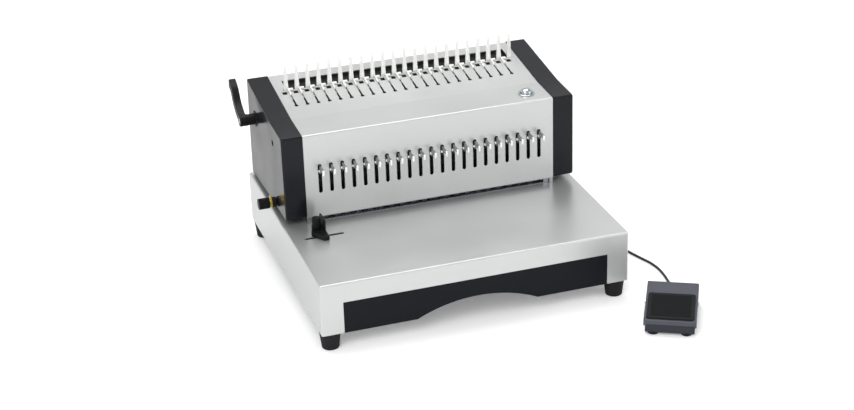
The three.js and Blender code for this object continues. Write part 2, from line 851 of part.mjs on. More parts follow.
function releasePull(index) {
  const noseTop = pullTop;
  const noseBottom = noseTop - pullTipHeight;
  const neckBottom = noseTop - pullNeckHeight;
  const faceY = frontCreaseY;
  const nose = pullTipThickness;
  const curve = new THREE.QuadraticBezierCurve(
    point(pullTipY + nose, neckBottom), point((pullTipY + faceY) / 2, neckBottom), point(faceY, pullBottom),
  );
  const notchFront = pinY - pinDepth / 2 + pullTravel - fit;
  const notchBack = pinY + pinDepth / 2 + pullTravel + fit;
  const outline = [
    point(pullTipY + nose, noseBottom), point(pullTipY, noseBottom),
    ...arc(pullTipY + nose, noseTop - nose, nose, Math.PI, Math.PI / 2, bendSteps - 1),
    point(pullTailY, noseTop), point(pullTailY, pullBottom), point(notchBack, pullBottom),
    point(notchBack, pullBottom + pullNeckHeight), point(notchFront, pullBottom + pullNeckHeight),
    point(notchFront, pullBottom), ...curve.getPoints(bendSteps).reverse(),
  ];
  const blade = prismX(outline.reverse(), -pullThickness / 2, pullThickness / 2);
  const pull = named(`release_pull_${String(index + 1).padStart(2, '0')}`, blade, 'bright');
  pull.position.x = ringX(index);
  return pull;
}

// Drive

function driveCrank() {
  const shaft = rodX(driveY, driveZ, driveShaftRadius, fit - frameOuterX, frameInnerX - gearboxLength - 2 * fit);
  const discs = [leftYokeX, rightYokeX].map((x) => (
    rodX(driveY, driveZ + crankThrow, eccentricRadius, x - eccentricWidth / 2, x + eccentricWidth / 2)
  ));
  return named('drive_crank', joined([shaft, ...discs]), 'steel');
}

function gearMotor() {
  const back = frameInnerX - fit;
  const face = back - gearboxLength;
  const top = driveZ + gearboxHalf;
  const corners = [
    point(driveY - gearboxHalf, driveZ - gearboxHalf), point(motorY - motorRadius, motorZ - motorRadius - fit),
    point(motorY + motorRadius, motorZ - motorRadius - fit), point(motorY + motorRadius, motorZ + motorRadius + fit),
    point(driveY + gearboxHalf + gearboxCorner, motorZ + motorRadius + fit), point(driveY + gearboxHalf, top),
    point(driveY - gearboxHalf, top),
  ];
  const gearbox = prismX(rounded(corners, gearboxCorner), face, back);
  const motor = rodX(motorY, motorZ, motorRadius, face - motorLength, face + overrun);
  const neck = rodX(motorY, motorZ, motorNeckRadius, face - motorLength - motorNeck, face, smallRoundSides);
  return named('gear_motor', joined([gearbox, motor, neck]), 'dark');
}

function controlBoard() {
  const z = panTop + fit + boardLift;
  const x0 = boardX - boardWidth / 2;
  const x1 = boardX + boardWidth / 2;
  const y1 = boardFrontY + boardDepth;
  const inset = 2 * boardPostRadius;
  const posts = [x0 + inset, x1 - inset].flatMap((x) => (
    [boardFrontY + inset, y1 - inset].map((y) => rodZ(x, y, boardPostRadius, panTop + fit, z + boardThickness / 2))
  ));
  const plate = block(x0, x1, boardFrontY, y1, z, z + boardThickness);
  // Each component: its middle across and along, its half width and half depth, and its height, as shares
  const componentShares = [
    [0.28, 0.35, 0.17, 0.2, 0.36], [0.62, 0.3, 0.08, 0.13, 0.22], [0.82, 0.3, 0.08, 0.13, 0.22],
    [0.7, 0.75, 0.2, 0.1, 0.12], [0.25, 0.8, 0.1, 0.08, 0.16],
  ];
  const components = componentShares.map(([a, b, halfA, halfB, height]) => block(
    x0 + (a - halfA) * boardWidth, x0 + (a + halfA) * boardWidth,
    boardFrontY + (b - halfB) * boardDepth, boardFrontY + (b + halfB) * boardDepth,
    z + boardThickness / 2, z + boardThickness + height * boardDepth,
  ));
  return named('control_board', joined([plate, ...posts, ...components]), 'board');
}

function powerInlet() {
  const back = baseBackY + fit + inletFlange;
  const wellZ = inletZ - inletWellDrop;
  const rockerZ = inletZ + rockerRise;
  const centred = (width, height, z) => rectangle(inletX - width / 2, inletX + width / 2, z - height / 2, z + height / 2);
  const flangeOutline = rounded(centred(inletFlangeWidth, inletFlangeHeight, inletZ), inletCorner);
  const flange = prismY(flangeOutline, baseBackY + fit, back);
  const bodyOutline = centred(inletBodyWidth, inletBodyHeight, inletZ);
  const body = prismY(bodyOutline, baseBackY - inletBodyDepth, back - inletFlange / 2);
  const wellRadii = [0, 0, inletCorner, inletCorner];
  const well = prismY(
    rounded(centred(inletWellWidth, inletWellHeight, wellZ), wellRadii, 1), back - inletWellDepth, back + overrun,
  );
  const rockerWell = prismY(
    centred(rockerWidth + 2 * fit, rockerHeight + 2 * rockerSwing, rockerZ), back - inletWellDepth, back + overrun,
  );
  const blades = [-inletBladeGap, 0, inletBladeGap].map((shift) => block(
    inletX + shift - inletBladeWidth / 2, inletX + shift + inletBladeWidth / 2,
    back - inletWellDepth - fit, back - inletFlange, wellZ - inletBladeHeight / 2, wellZ + inletBladeHeight / 2,
  ));
  return named('power_inlet', joined([flange.add(body).subtract(well).subtract(rockerWell), ...blades]), 'dark');
}

function powerRocker() {
  const half = rockerHeight / 2;
  const face = inletFlange + rockerProud;
  const dip = Math.tan(rockerTilt) * half;
  const outline = [
    point(-rockerDepth, -half / 2), point(0, -half), point(face + dip, -half), point(face - dip / 2, 0),
    point(face - dip, half), point(0, half), point(-rockerDepth, half / 2),
  ];
  const rocker = named('power_rocker', prismX(outline, -rockerWidth / 2, rockerWidth / 2), 'drawer');
  rocker.position.set(inletX, baseBackY + fit, inletZ + rockerRise);
  return rocker;
}

// Margin adjuster

function marginShaft() {
  const shaft = rodX(marginY, marginZ, marginShaftRadius, -marginKnobFace + overrun, frameOuterX - fit, smallRoundSides);
  const collar = rodX(marginY, marginZ, marginCollarRadius, fit - marginKnobBack, -frameOuterX - fit, smallRoundSides);
  const camOutline = [];
  for (let i = 0; i < roundSides; i += 1) {
    const turn = i / roundSides;
    const radius = camLowRadius + camRise * Math.abs(1 - 2 * turn);
    const angle = turn * 2 * Math.PI;
    camOutline.push(point(marginY + radius * Math.cos(angle), marginZ + radius * Math.sin(angle)));
  }
  const cams = [-camX, camX].map((x) => prismX(camOutline, x - camWidth / 2, x + camWidth / 2));
  return named('margin_shaft', joined([shaft, collar, ...cams]), 'brass');
}

function marginKnob() {
  const outline = ribbedOutline(marginKnobRadius, marginKnobRibs, marginRibDepth)
    .map((p) => point(p.x + marginY, p.y + marginZ));
  const grip = prismX(outline, -marginKnobFace, -marginKnobBack);
  const bore = rodX(
    marginY, marginZ, marginShaftRadius + fit, fit - marginKnobFace + overrun - 2 * fit, -marginKnobBack + overrun,
    smallRoundSides,
  );
  return named('margin_knob', grip.subtract(bore), 'cap');
}

function depthStop() {
  const half = stopWidth / 2;
  const back = marginY - camLowRadius - fit;
  const bottom = dieTop + fit;
  const strip = block(-half, half, stopFrontY, back, bottom, bottom + stopThickness);
  const tabs = [-camX, camX].map((x) => block(
    x - stopTabWidth / 2, x + stopTabWidth / 2, back - stopTabThickness, back, bottom, stopTabTop,
  ));
  return named('depth_stop', joined([strip, ...tabs]), 'steel');
}

// Comb opener

function fingerPlate() {
  const half = frameInnerX - fit;
  const drop = (y) => deckZ(y) - fingerFootDrop;
  const neckTop = deckZ(fingerFrontY) - coverSheet - 2 * fit;
  const path = [
    point(fingerFrontY, neckTop), point(fingerFrontY, drop(fingerFrontY)), point(fingerFootBack, drop(fingerFootBack)),
  ];
  const sheet = prismX(bentSheet(path.reverse(), fingerSheet, fingerSheet + fit), -half, half);
  const finger = [
    point(-fingerBaseWidth / 2, neckTop - overrun), point(fingerBaseWidth / 2, neckTop - overrun),
    point(fingerBaseWidth / 2, deckZ(fingerFrontY) + hookHeight),
    ...arc(0, fingerTop - fingerTopWidth / 2, fingerTopWidth / 2, 0, Math.PI, bendSteps),
    point(-fingerBaseWidth / 2, deckZ(fingerFrontY) + hookHeight),
  ];
  const prong = prismY(finger, fingerFrontY, fingerFrontY + fingerSheet);
  const prongs = Array.from({ length: fingerCount }, (_, j) => prong.translate([fingerX(j), 0, 0]));
  return named('finger_plate', joined([sheet, ...prongs]), 'bright');
}

function recessChannel() {
  const floor = (y) => deckZ(y) - fingerFootDrop + fingerSheet / Math.cos(deckSlope) + fit;
  const front = fingerFrontY + fingerSheet + fit;
  const back = windowBackY + channelSheet + 2 * fit;
  const lip = (y) => deckZ(y) - coverSheet / Math.cos(deckSlope) - fit;
  const path = [
    point(back, lip(back)), point(back, floor(back)), point(front, floor(front)), point(front, lip(front)),
  ];
  const outline = bentSheet(path, channelSheet, channelSheet + fit);
  return named('recess_channel', prismX(outline, windowLeftX - windowEdge, windowRightX + windowEdge), 'dark');
}

// The rack's toothed edge as (along, off) points, its teeth pointing down to the pinion
function rackTeeth(from, to) {
  const pitch = Math.PI * gearModule;
  const pitchLine = openerDepth + pitchRadius;
  const rootLine = pitchLine + gearRootShare * gearModule;
  const tipLine = pitchLine - gearModule;
  const halfAtPitch = pitch / 4 - gearBacklash / 2;
  const halfAtRoot = halfAtPitch + (rootLine - pitchLine) * Math.tan(pressureAngle);
  const halfAtTip = halfAtPitch - (pitchLine - tipLine) * Math.tan(pressureAngle);
  const points = [];
  for (let s = openerAlong + pitch / 2; s < to - halfAtRoot; s += pitch) {
    points.push(
      point(s - halfAtRoot, rootLine), point(s - halfAtTip, tipLine),
      point(s + halfAtTip, tipLine), point(s + halfAtRoot, rootLine),
    );
  }
  for (let s = openerAlong - pitch / 2; s > from + halfAtRoot; s -= pitch) {
    points.unshift(
      point(s - halfAtRoot, rootLine), point(s - halfAtTip, tipLine),
      point(s + halfAtTip, tipLine), point(s + halfAtRoot, rootLine),
    );
  }
  return { points, rootLine };
}

function hookCarriage() {
  const plateTop = -coverSheet - fit;
  const plateBottom = plateTop - carriageSheet;
  const half = frameInnerX - 2 * fit;
  const earHalf = frameOuterX - fit;
  const front = along(carriageFrontY);
  const back = along(hookBackY);
  const plate = block(-half, half, front, back, plateBottom, plateTop);
  const ears = block(-earHalf, earHalf, front, back, plateBottom, plateTop);
  const leg = block(
    -hookThickness / 2, hookThickness / 2, along(hookFrontY), back, plateBottom, hookHeight,
  );
  const tab = block(-hookThickness / 2, hookTabWidth, back - hookTabDepth, back, hookLift, hookHeight);
  const hook = leg.add(tab);
  const hooks = Array.from({ length: ringCount }, (_, i) => hook.translate([fingerX(i) + hookShift, 0, 0]));
  const rackFront = openerAlong - 2 * Math.PI * gearModule;
  const rackEnd = openerAlong + hookTravel + 2 * Math.PI * gearModule;
  const { points, rootLine } = rackTeeth(rackFront, rackEnd);
  const barTop = rootLine + rackBarHeight;
  const rackOutline = [
    point(front, plateBottom + carriageSheet / 2), point(front, rootLine), ...points, point(rackEnd, rootLine),
    point(rackEnd, barTop), point(back, barTop), point(back, plateBottom + carriageSheet / 2),
  ];
  const racks = [-rackX, rackX].map((x) => prismX(rackOutline, x - rackWidth / 2, x + rackWidth / 2));
  const carriage = named('hook_carriage', joined([plate, ears, ...hooks, ...racks]), 'zinc');
  carriage.position.set(0, topCreaseY, topCreaseZ);
  carriage.rotation.x = deckSlope;
  return carriage;
}

// Half the angle of an involute tooth at a radius
function toothHalfAngle(radius) {
  const involute = (angle) => Math.tan(angle) - angle;
  const baseRadius = pitchRadius * Math.cos(pressureAngle);
  const halfAtPitch = (Math.PI * gearModule / 4 - gearBacklash / 2) / pitchRadius;
  const angle = Math.acos(Math.min(baseRadius / radius, 1));
  return halfAtPitch + involute(pressureAngle) - involute(angle);
}

// The pinion's outline about its own axis: a toothed sector, and a round hub for the rest
function pinionOutline() {
  const root = pitchRadius - gearRootShare * gearModule;
  const tip = pitchRadius + gearModule;
  const base = pitchRadius * Math.cos(pressureAngle);
  const flankShares = [0, 0.5, 1];
  const toothTurn = (2 * Math.PI) / gearTeeth;
  const contact = Math.PI / 2 + deckSlope;
  const polar = (radius, angle) => point(radius * Math.cos(angle), radius * Math.sin(angle));
  const outline = [];
  for (let k = 1 - gearTeethKept + 1; k <= 1; k += 1) {
    const middle = contact + k * toothTurn;
    const radii = flankShares.map((share) => base + (tip - base) * share);
    outline.push(polar(root, middle - toothHalfAngle(base)));
    radii.forEach((radius) => outline.push(polar(radius, middle - toothHalfAngle(radius))));
    radii.reverse().forEach((radius) => outline.push(polar(radius, middle + toothHalfAngle(radius))));
    outline.push(polar(root, middle + toothHalfAngle(base)));
  }
  const last = contact + toothTurn + toothHalfAngle(base);
  const first = contact + (2 - gearTeethKept) * toothTurn - toothHalfAngle(base) + 2 * Math.PI;
  const back = arc(0, 0, root, last, first, smallRoundSides).slice(1, -1);
  return [...outline, ...back];
}

function openerShaft() {
  const shaft = rodX(0, 0, openerShaftRadius, fit - capOuterX - hubBoreDepth, frameOuterX - fit);
  const pinions = [-rackX, rackX].map((x) => prismX(pinionOutline(), x - rackWidth / 2, x + rackWidth / 2));
  const solid = named('opener_shaft', joined([shaft, ...pinions]), 'steel');
  solid.position.set(0, openerY, openerZ);
  return solid;
}

function openerHandle() {
  const outerX = -hubFace;
  const hub = rodX(0, 0, hubRadius, outerX, -capOuterX - 2 * fit);
  const bore = rodX(
    0, 0, openerShaftRadius + fit, -capOuterX - hubBoreDepth, -capOuterX + overrun,
  );
  const curve = new THREE.QuadraticBezierCurve(point(0, 0), point(armControlY, armControlZ), point(armTipY, armTipZ));
  const left = [];
  const right = [];
  const steps = 2 * bendSteps;
  for (let i = 0; i <= steps; i += 1) {
    const t = i / steps;
    const middle = curve.getPoint(t);
    const direction = curve.getTangent(t);
    const reach = THREE.MathUtils.lerp(armBaseWidth, armTipWidth, t) / 2;
    left.push(point(middle.x - direction.y * reach, middle.y + direction.x * reach));
    right.push(point(middle.x + direction.y * reach, middle.y - direction.x * reach));
  }
  const arm = prismX([...right, ...left.reverse()], outerX + armInset, outerX + armInset + armThickness);
  const handle = named('opener_handle', hub.add(arm).subtract(bore), 'cap');
  handle.position.set(0, openerY, openerZ);
  return handle;
}

// Push button and its ring

function buttonBezel() {
  const inner = buttonRadius + fit;
  const outer = inner + bezelWall;
  const profile = [
    point(inner, -bezelLength), point(outer, -bezelLength), point(outer, fit), point(outer + bezelFlange, fit),
    point(outer + bezelFlange - fit, fit + bezelHeight), point(inner, fit + bezelHeight), point(inner, -bezelLength),
  ];
  return named('button_bezel', ontoStrip(turned(profile)), 'bright');
}

function pushButton() {
  const top = fit + bezelHeight + buttonTravel + fit;
  const domeRadius = (buttonRadius ** 2 + buttonDome ** 2) / (2 * buttonDome);
  const domeAngle = Math.asin(buttonRadius / domeRadius);
  const dome = arc(0, top + buttonDome - domeRadius, domeRadius, Math.PI / 2 - domeAngle, Math.PI / 2, 2 * bendSteps);
  dome[dome.length - 1].x = 0;
  const profile = [point(0, top - buttonLength), point(buttonRadius, top - buttonLength), ...dome];
  return named('push_button', ontoStrip(turned(profile)), 'bright');
}

// Edge guide

function edgeGuide() {
  const bottom = baseTop + fit;
  const top = bottom + guideBlockHeight;
  const corners = [
    point(guideRightX, guideFrontEdgeY), point(guideRightX, guideBackEdgeY), point(guideChamferX, guideBackEdgeY),
    point(guideLeftX, guideWideBackY), point(guideLeftX, guideWideFrontY), point(guideNarrowX, guideFrontEdgeY),
  ];
  const body = prismZ(corners, bottom, top);
  const fence = prismX([
    point(guideFrontEdgeY, bottom), point(guideBackEdgeY, bottom), point(guideBackEdgeY, bottom + fenceHeight),
    point(fenceRiseY, bottom + fenceHeight), point(guideFrontEdgeY, bottom + fenceLowHeight),
  ], guideRightX - fenceThickness, guideRightX);
  const keyHalf = guideSlotWidth / 2 - fit;
  const key = block(
    clampX - guideKeyLength / 2, clampX + guideKeyLength / 2, guideSlotY - keyHalf, guideSlotY + keyHalf,
    baseTop - guideKeyDrop, bottom + guideBlockHeight / 2,
  );
  const bore = rodZ(clampX, clampY, clampStemRadius + fit, bottom + guideBlockHeight / 2, top + overrun);
  return named('edge_guide', joined([body, fence, key]).subtract(bore), 'cap');
}

function guideKnob() {
  const seat = baseTop + fit + guideBlockHeight + fit;
  const grip = prismZ(ribbedOutline(clampRadius, clampRibs, clampRibDepth), seat, seat + clampHeight);
  const stem = rodZ(0, 0, clampStemRadius, seat - guideBlockHeight / 2 + fit, seat + fit);
  const cap = turned([
    point(0, seat + clampHeight - fit), point(clampRadius - clampRibDepth, seat + clampHeight - fit),
    point(clampRadius - clampRibDepth, seat + clampHeight),
    point(clampRadius - clampRibDepth - clampDome, seat + clampHeight + clampDome), point(0, seat + clampHeight + clampDome),
  ], smallRoundSides);
  const knob = named('guide_knob', joined([grip, stem, cap]), 'cap');
  knob.position.set(clampX, clampY, 0);
  return knob;
}

// Foot pedal

function pedalBase() {
  const floor = pedalFootHeight;
  const top = floor + pedalSheet;
  const left = pedalSheet + pedalSideGap;
  const right = pedalWidth - left;
  const front = pedalWallInset;
  const back = pedalLength - pedalBackInset;
  const plate = block(left, right, front, back, floor, top);
  const frontWall = block(left, right, front, front + pedalSheet, floor, pedalWallTop);
  const backWall = block(left, right, back - pedalSheet, back, floor, pedalBackWallTop);
  const side = [
    point(front, floor), point(back, floor), point(back, pedalBackWallTop),
    point(pedalPivotY + 2 * pedalPostHalf, pedalBackWallTop), point(pedalPivotY + pedalPostHalf, pedalPostTop),
    point(pedalPivotY - pedalPostHalf, pedalPostTop), point(pedalPivotY - 2 * pedalPostHalf, pedalWallTop),
    point(front, pedalWallTop),
  ];
  const sides = [left, right - pedalSheet].map((x) => prismX(side, x, x + pedalSheet));
  const pinHole = rodX(pedalPivotY, pedalPivotZ, pedalPinRadius + fit, -overrun, pedalWidth + overrun, smallRoundSides);
  const padProfile = [
    point(0, 0), point(pedalFootRadius - pedalFootHeight / 2, 0), point(pedalFootRadius, pedalFootHeight / 2),
    point(pedalFootRadius, pedalFootHeight + fit), point(0, pedalFootHeight + fit),
  ];
  const pad = turned(padProfile, smallRoundSides);
  const pads = [pedalFootInset, pedalWidth - pedalFootInset].flatMap((padX) => (
    [pedalFootInset, pedalLength - pedalFootInset].map((padY) => pad.translate([padX, padY, 0]))
  ));
  const sleeve = rodY(pedalWidth / 2, pedalCordZ, glandRadius, back - pedalSheet / 2, back + grommetLength);
  const bore = rodY(
    pedalWidth / 2, pedalCordZ, cordDiameter / 2 + fit, back - pedalSheet - overrun, back + grommetLength + overrun,
  );
  const whole = joined([plate, frontWall, backWall, ...sides, ...pads, sleeve]);
  return named('pedal_base', whole.subtract(pinHole).subtract(bore), 'pedal');
}

// The plate's own frame: y along it from its front edge, z off its top face
function pedalPlate() {
  const path = [point(0, -pedalSkirt), point(0, 0), point(pedalWidth, 0), point(pedalWidth, -pedalSkirt)];
  const channel = prismY(bentSheet(path, pedalSheet, pedalSheet + fit), 0, pedalLength / Math.cos(pedalSlope));
  const lip = block(pedalSheet / 2, pedalWidth - pedalSheet / 2, 0, pedalSheet, -pedalLip, -pedalSheet / 2);
  const dy = pedalPivotY;
  const dz = pedalPivotZ - pedalFrontZ;
  const pivotU = dy * Math.cos(pedalSlope) + dz * Math.sin(pedalSlope);
  const pivotW = dz * Math.cos(pedalSlope) - dy * Math.sin(pedalSlope);
  const earBottom = pivotW - pedalPinRadius - pedalHeadLength;
  const ear = [
    point(pivotU - pedalEarHalf, -pedalSkirt / 2), point(pivotU - pedalEarHalf, -pedalSkirt),
    point(pivotU - pedalEarHalf / 2, earBottom), point(pivotU + pedalEarHalf / 2, earBottom),
    point(pivotU + pedalEarHalf, -pedalSkirt), point(pivotU + pedalEarHalf, -pedalSkirt / 2),
  ];
  const ears = [0, pedalWidth - pedalSheet].map((x) => prismX(ear, x, x + pedalSheet));
  const hole = rodX(pivotU, pivotW, pedalPinRadius + fit, -overrun, pedalWidth + overrun, smallRoundSides);
  const plate = named('pedal_plate', joined([channel, lip, ...ears]).subtract(hole), 'pedal');
  plate.position.z = pedalFrontZ;
  plate.rotation.x = pedalSlope;
  return plate;
}

function pedalTread() {
  const outline = rounded(rectangle(treadSideInset, pedalWidth - treadSideInset, treadFront, treadBack), treadCorner);
  const geometry = new THREE.ExtrudeGeometry(new THREE.Shape(outline), {
    depth: treadHeight, bevelEnabled: true, bevelSize: treadBevel, bevelThickness: treadBevel, bevelOffset: -treadBevel,
    bevelSegments: 1,
  });
  const keep = block(0, pedalWidth, 0, pedalLength, fit, 2 * treadHeight + treadBevel);
  const tread = named('pedal_tread', solidOf(geometry).translate([0, 0, -treadBevel]).intersect(keep), 'rubber');
  tread.position.z = pedalFrontZ;
  tread.rotation.x = pedalSlope;
  return tread;
}

function pedalPin() {
  const outside = fit + pedalHeadLength;
  const pin = rodX(pedalPivotY, pedalPivotZ, pedalPinRadius, -outside, pedalWidth + outside, smallRoundSides);
  const heads = [-outside, pedalWidth + fit].map((x) => (
    rodX(pedalPivotY, pedalPivotZ, pedalHeadRadius, x, x + pedalHeadLength, smallRoundSides)
  ));
  return named('pedal_pin', joined([pin, ...heads]), 'zinc');
}

// A tube of a given diameter along a curve
function tube(curve, diameter, sides, steps) {
  const section = new THREE.Shape(circle(0, 0, diameter / 2, sides));
  return solidOf(new THREE.ExtrudeGeometry(section, { steps, bevelEnabled: false, extrudePath: curve }));
}

class SpringCurve extends THREE.Curve {
  getPoint(t, target = new THREE.Vector3()) {
    const radius = pedalPinRadius + springWire / 2 + fit;
    const turns = springTurns + 0.5;
    const angle = Math.PI / 2 - t * turns * 2 * Math.PI;
    const pitch = springWire + fit;
    const x = pedalWidth / 2 + (t - 0.5) * turns * pitch;
    return target.set(x, pedalPivotY + radius * Math.cos(angle), pedalPivotZ + radius * Math.sin(angle));
  }
}

function pedalSpring() {
  const coil = new SpringCurve();
  const floorZ = pedalFootHeight + pedalSheet + springWire / 2 + fit;
  const first = coil.getPoint(0);
  const last = coil.getPoint(1);
  const steps = 8 * springTurns;
  const points = [
    new THREE.Vector3(first.x, first.y - springLegReach, first.z),
    new THREE.Vector3(first.x, first.y - springLegReach / 2, first.z),
  ];
  for (let i = 0; i <= steps; i += 1) points.push(coil.getPoint(i / steps));
  points.push(
    new THREE.Vector3(last.x, last.y - springLegReach / 2, (last.z + floorZ) / 2),
    new THREE.Vector3(last.x, last.y - springLegReach, floorZ),
  );
  const wire = new THREE.CatmullRomCurve3(points, false, 'centripetal');
  wire.arcLengthDivisions = 20 * steps;
  return named('pedal_spring', tube(wire, springWire, 5, steps + slotEndSteps), 'bright');
}

// Cord

// A flanged sleeve that the cord passes through, along +Y from the back face of the base
function cordGland() {
  const bore = cordDiameter / 2 + fit;
  const inside = -baseSheet - glandFlange;
  const profile = [
    point(bore, inside), point(glandRadius, inside), point(glandRadius, fit), point(glandFlangeRadius, fit),
    point(glandFlangeRadius, glandFlange), point(glandRadius - 2 * fit, glandLength), point(bore, glandLength),
    point(bore, inside),
  ];
  const gland = named('cord_gland', turned(profile, smallRoundSides), 'rubber');
  gland.rotation.x = -Math.PI / 2;
  gland.position.set(glandX, baseBackY, glandZ);
  return gland;
}

const across = new THREE.Vector3(Math.cos(pedalTurn), Math.sin(pedalTurn), 0);
const backward = new THREE.Vector3(-Math.sin(pedalTurn), Math.cos(pedalTurn), 0);
const grommetEnd = new THREE.Vector3(pedalX, pedalY, pedalCordZ)
  .addScaledVector(across, pedalWidth / 2)
  .addScaledVector(backward, pedalLength - pedalBackInset + grommetLength + fit);

class CoilCurve extends THREE.Curve {
  constructor() {
    super();
    this.outerRadius = coilInnerRadius + (coilTurns / coilLayers) * coilPitch;
    this.spiralLength = Math.PI * (coilInnerRadius + this.outerRadius) * coilTurns;
    this.endShare = cordDiameter / (this.spiralLength + 2 * cordDiameter);
    this.arcLengthDivisions = 3000;
  }

  spiral(turn) {
    const perLayer = coilTurns / coilLayers;
    const layer = Math.min(Math.floor(turn / perLayer), coilLayers - 1);
    const within = turn / perLayer - layer;
    const inwards = layer % 2 === 0;
    const radius = inwards
      ? THREE.MathUtils.lerp(this.outerRadius, coilInnerRadius, within)
      : THREE.MathUtils.lerp(coilInnerRadius, this.outerRadius, within);
    let height = layer;
    for (let change = 1; change < coilLayers; change += 1) {
      const offset = turn - change * perLayer;
      if (Math.abs(offset) < 0.25) height = change - 1 + THREE.MathUtils.smoothstep(offset, -0.25, 0.25);
    }
    const angle = -turn * 2 * Math.PI;
    return new THREE.Vector3(
      coilX + radius * Math.cos(angle), coilY + radius * Math.sin(angle), cordFloorZ + height * coilPitch,
    );
  }

  getPoint(t, target = new THREE.Vector3()) {
    if (t < this.endShare) {
      const start = this.spiral(0);
      return target.set(start.x, start.y + cordDiameter * (1 - t / this.endShare), start.z);
    }
    if (t > 1 - this.endShare) {
      const end = this.spiral(coilTurns);
      return target.set(end.x, end.y - cordDiameter * (1 - (1 - t) / this.endShare), end.z);
    }
    return target.copy(this.spiral(((t - this.endShare) / (1 - 2 * this.endShare)) * coilTurns));
  }
}

const coilCurve = new CoilCurve();
const coilStart = coilCurve.getPoint(0);
const coilEnd = coilCurve.getPoint(1);
const floor = (x, y, z = cordFloorZ) => new THREE.Vector3(x, y, z);

// A point beside the base, which keeps its share of the base's depth
function beside(x, y, z = cordFloorZ) {
  return new THREE.Vector3(x, baseBackY - (baseBackY - y) * (baseDepth / baseBackY), z);
}

// The cord's free stretches: points chosen by hand
const leadRoute = [
  new THREE.Vector3(glandX, baseBackY + glandLength + fit, glandZ),
  new THREE.Vector3(glandX, baseBackY + glandLength + fit + 2 * cordDiameter, glandZ),
  floor(167.2, 371.5, 40.5), floor(172.4, 379.5, 27), floor(181.5, 383.8, 11), floor(194.5, 383.4, 3),
  floor(208, 378.2), floor(222, 367), floor(233.4, 350.8), floor(241.2, 331),
  floor(coilStart.x, coilStart.y + fit + 2 * cordDiameter),
  floor(coilStart.x, coilStart.y + fit),
];
const tailRoute = [
  floor(coilEnd.x, coilEnd.y - fit, coilEnd.z),
  floor(coilEnd.x, coilEnd.y - fit - 2 * cordDiameter, coilEnd.z),
  beside(243.7, 276, 10.2), beside(242.8, 262, 5.2), beside(240.4, 246, 2), beside(236.2, 222), beside(233, 196),
  beside(232.4, 168), beside(235.4, 138), beside(242.6, 105), beside(249.9, 82.3), beside(254.8, 67.9), beside(257.6, 49.7),
  beside(257, 32.4), beside(254.7, 14.5), beside(252.4, 4, 3),
  grommetEnd.clone().addScaledVector(backward, 2 * cordDiameter),
  grommetEnd.clone(),
];

function cordStretch(name, route) {
  const curve = new THREE.CatmullRomCurve3(route, false, 'centripetal');
  const length = curve.getLength();
  const steps = Math.round(length / (2.6 * cordDiameter));
  return { mesh: named(name, tube(curve, cordDiameter, 8, steps), 'cord'), length };
}

// The least gap between two turns of the coil, measured on points of its middle line
function coilSelfGap() {
  const count = coilTurns * 96;
  const points = Array.from({ length: count + 1 }, (_, i) => coilCurve.spiral((i / count) * coilTurns));
  let least = Infinity;
  for (let i = 0; i <= count; i += 1) {
    for (let j = i + 32; j <= count; j += 1) least = Math.min(least, points[i].distanceTo(points[j]));
  }
  return least - cordDiameter;
}

// Assembly

const machine = new THREE.Group();
machine.add(
  baseShell(), bottomPan(), chipDrawer(), housingCover(), leftEndCap(), rightEndCap(), innerFrame(), dieSet(),
  punchRam(), driveCrank(), gearMotor(), controlBoard(), powerInlet(), powerRocker(), marginShaft(), marginKnob(),
  depthStop(), fingerPlate(), recessChannel(), hookCarriage(), openerShaft(), openerHandle(), buttonBezel(),
  pushButton(), edgeGuide(), guideKnob(), cordGland(),
);
for (const end of ['front', 'rear']) {
  for (const side of ['left', 'right']) machine.add(rubberFoot(end, side));
}
for (let i = 0; i < ringCount; i += 1) machine.add(releasePull(i));

const pedal = new THREE.Group();
pedal.position.set(pedalX, pedalY, 0);
pedal.rotation.z = pedalTurn;
pedal.add(pedalBase(), pedalPlate(), pedalTread(), pedalPin(), pedalSpring());

const model = new THREE.Group();
model.add(machine, pedal);

// The origin is under the middle of the machine and its pedal, on the surface that they stand on
model.updateMatrixWorld(true);
const bounds = new THREE.Box3().setFromObject(model, true);
const middle = bounds.getCenter(new THREE.Vector3());

const lead = cordStretch('cord_lead', leadRoute);
const tail = cordStretch('cord_tail', tailRoute);
const coil = named('cord_coil', tube(coilCurve, cordDiameter, 6, coilTurns * 24 + 2), 'cord');
model.add(lead.mesh, coil, tail.mesh);
model.position.set(-middle.x, -middle.y, -bounds.min.z);

console.log(`least gap of the coil to itself ${coilSelfGap().toFixed(3)}`);
console.log(`cord length ${(lead.length + tail.length + coilCurve.getLength()).toFixed(1)}`);
console.log(`origin ${middle.x.toFixed(3)} ${middle.y.toFixed(3)} ${bounds.min.z.toFixed(3)}`);

export default model;
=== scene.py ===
"""Looks of the comb binding machine: finer meshes, finishes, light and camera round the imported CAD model."""

import logging
import math
from dataclasses import dataclass, field
from enum import Enum
from typing import Iterable, Sequence

import bmesh
import bpy
from mathutils import Matrix, Vector


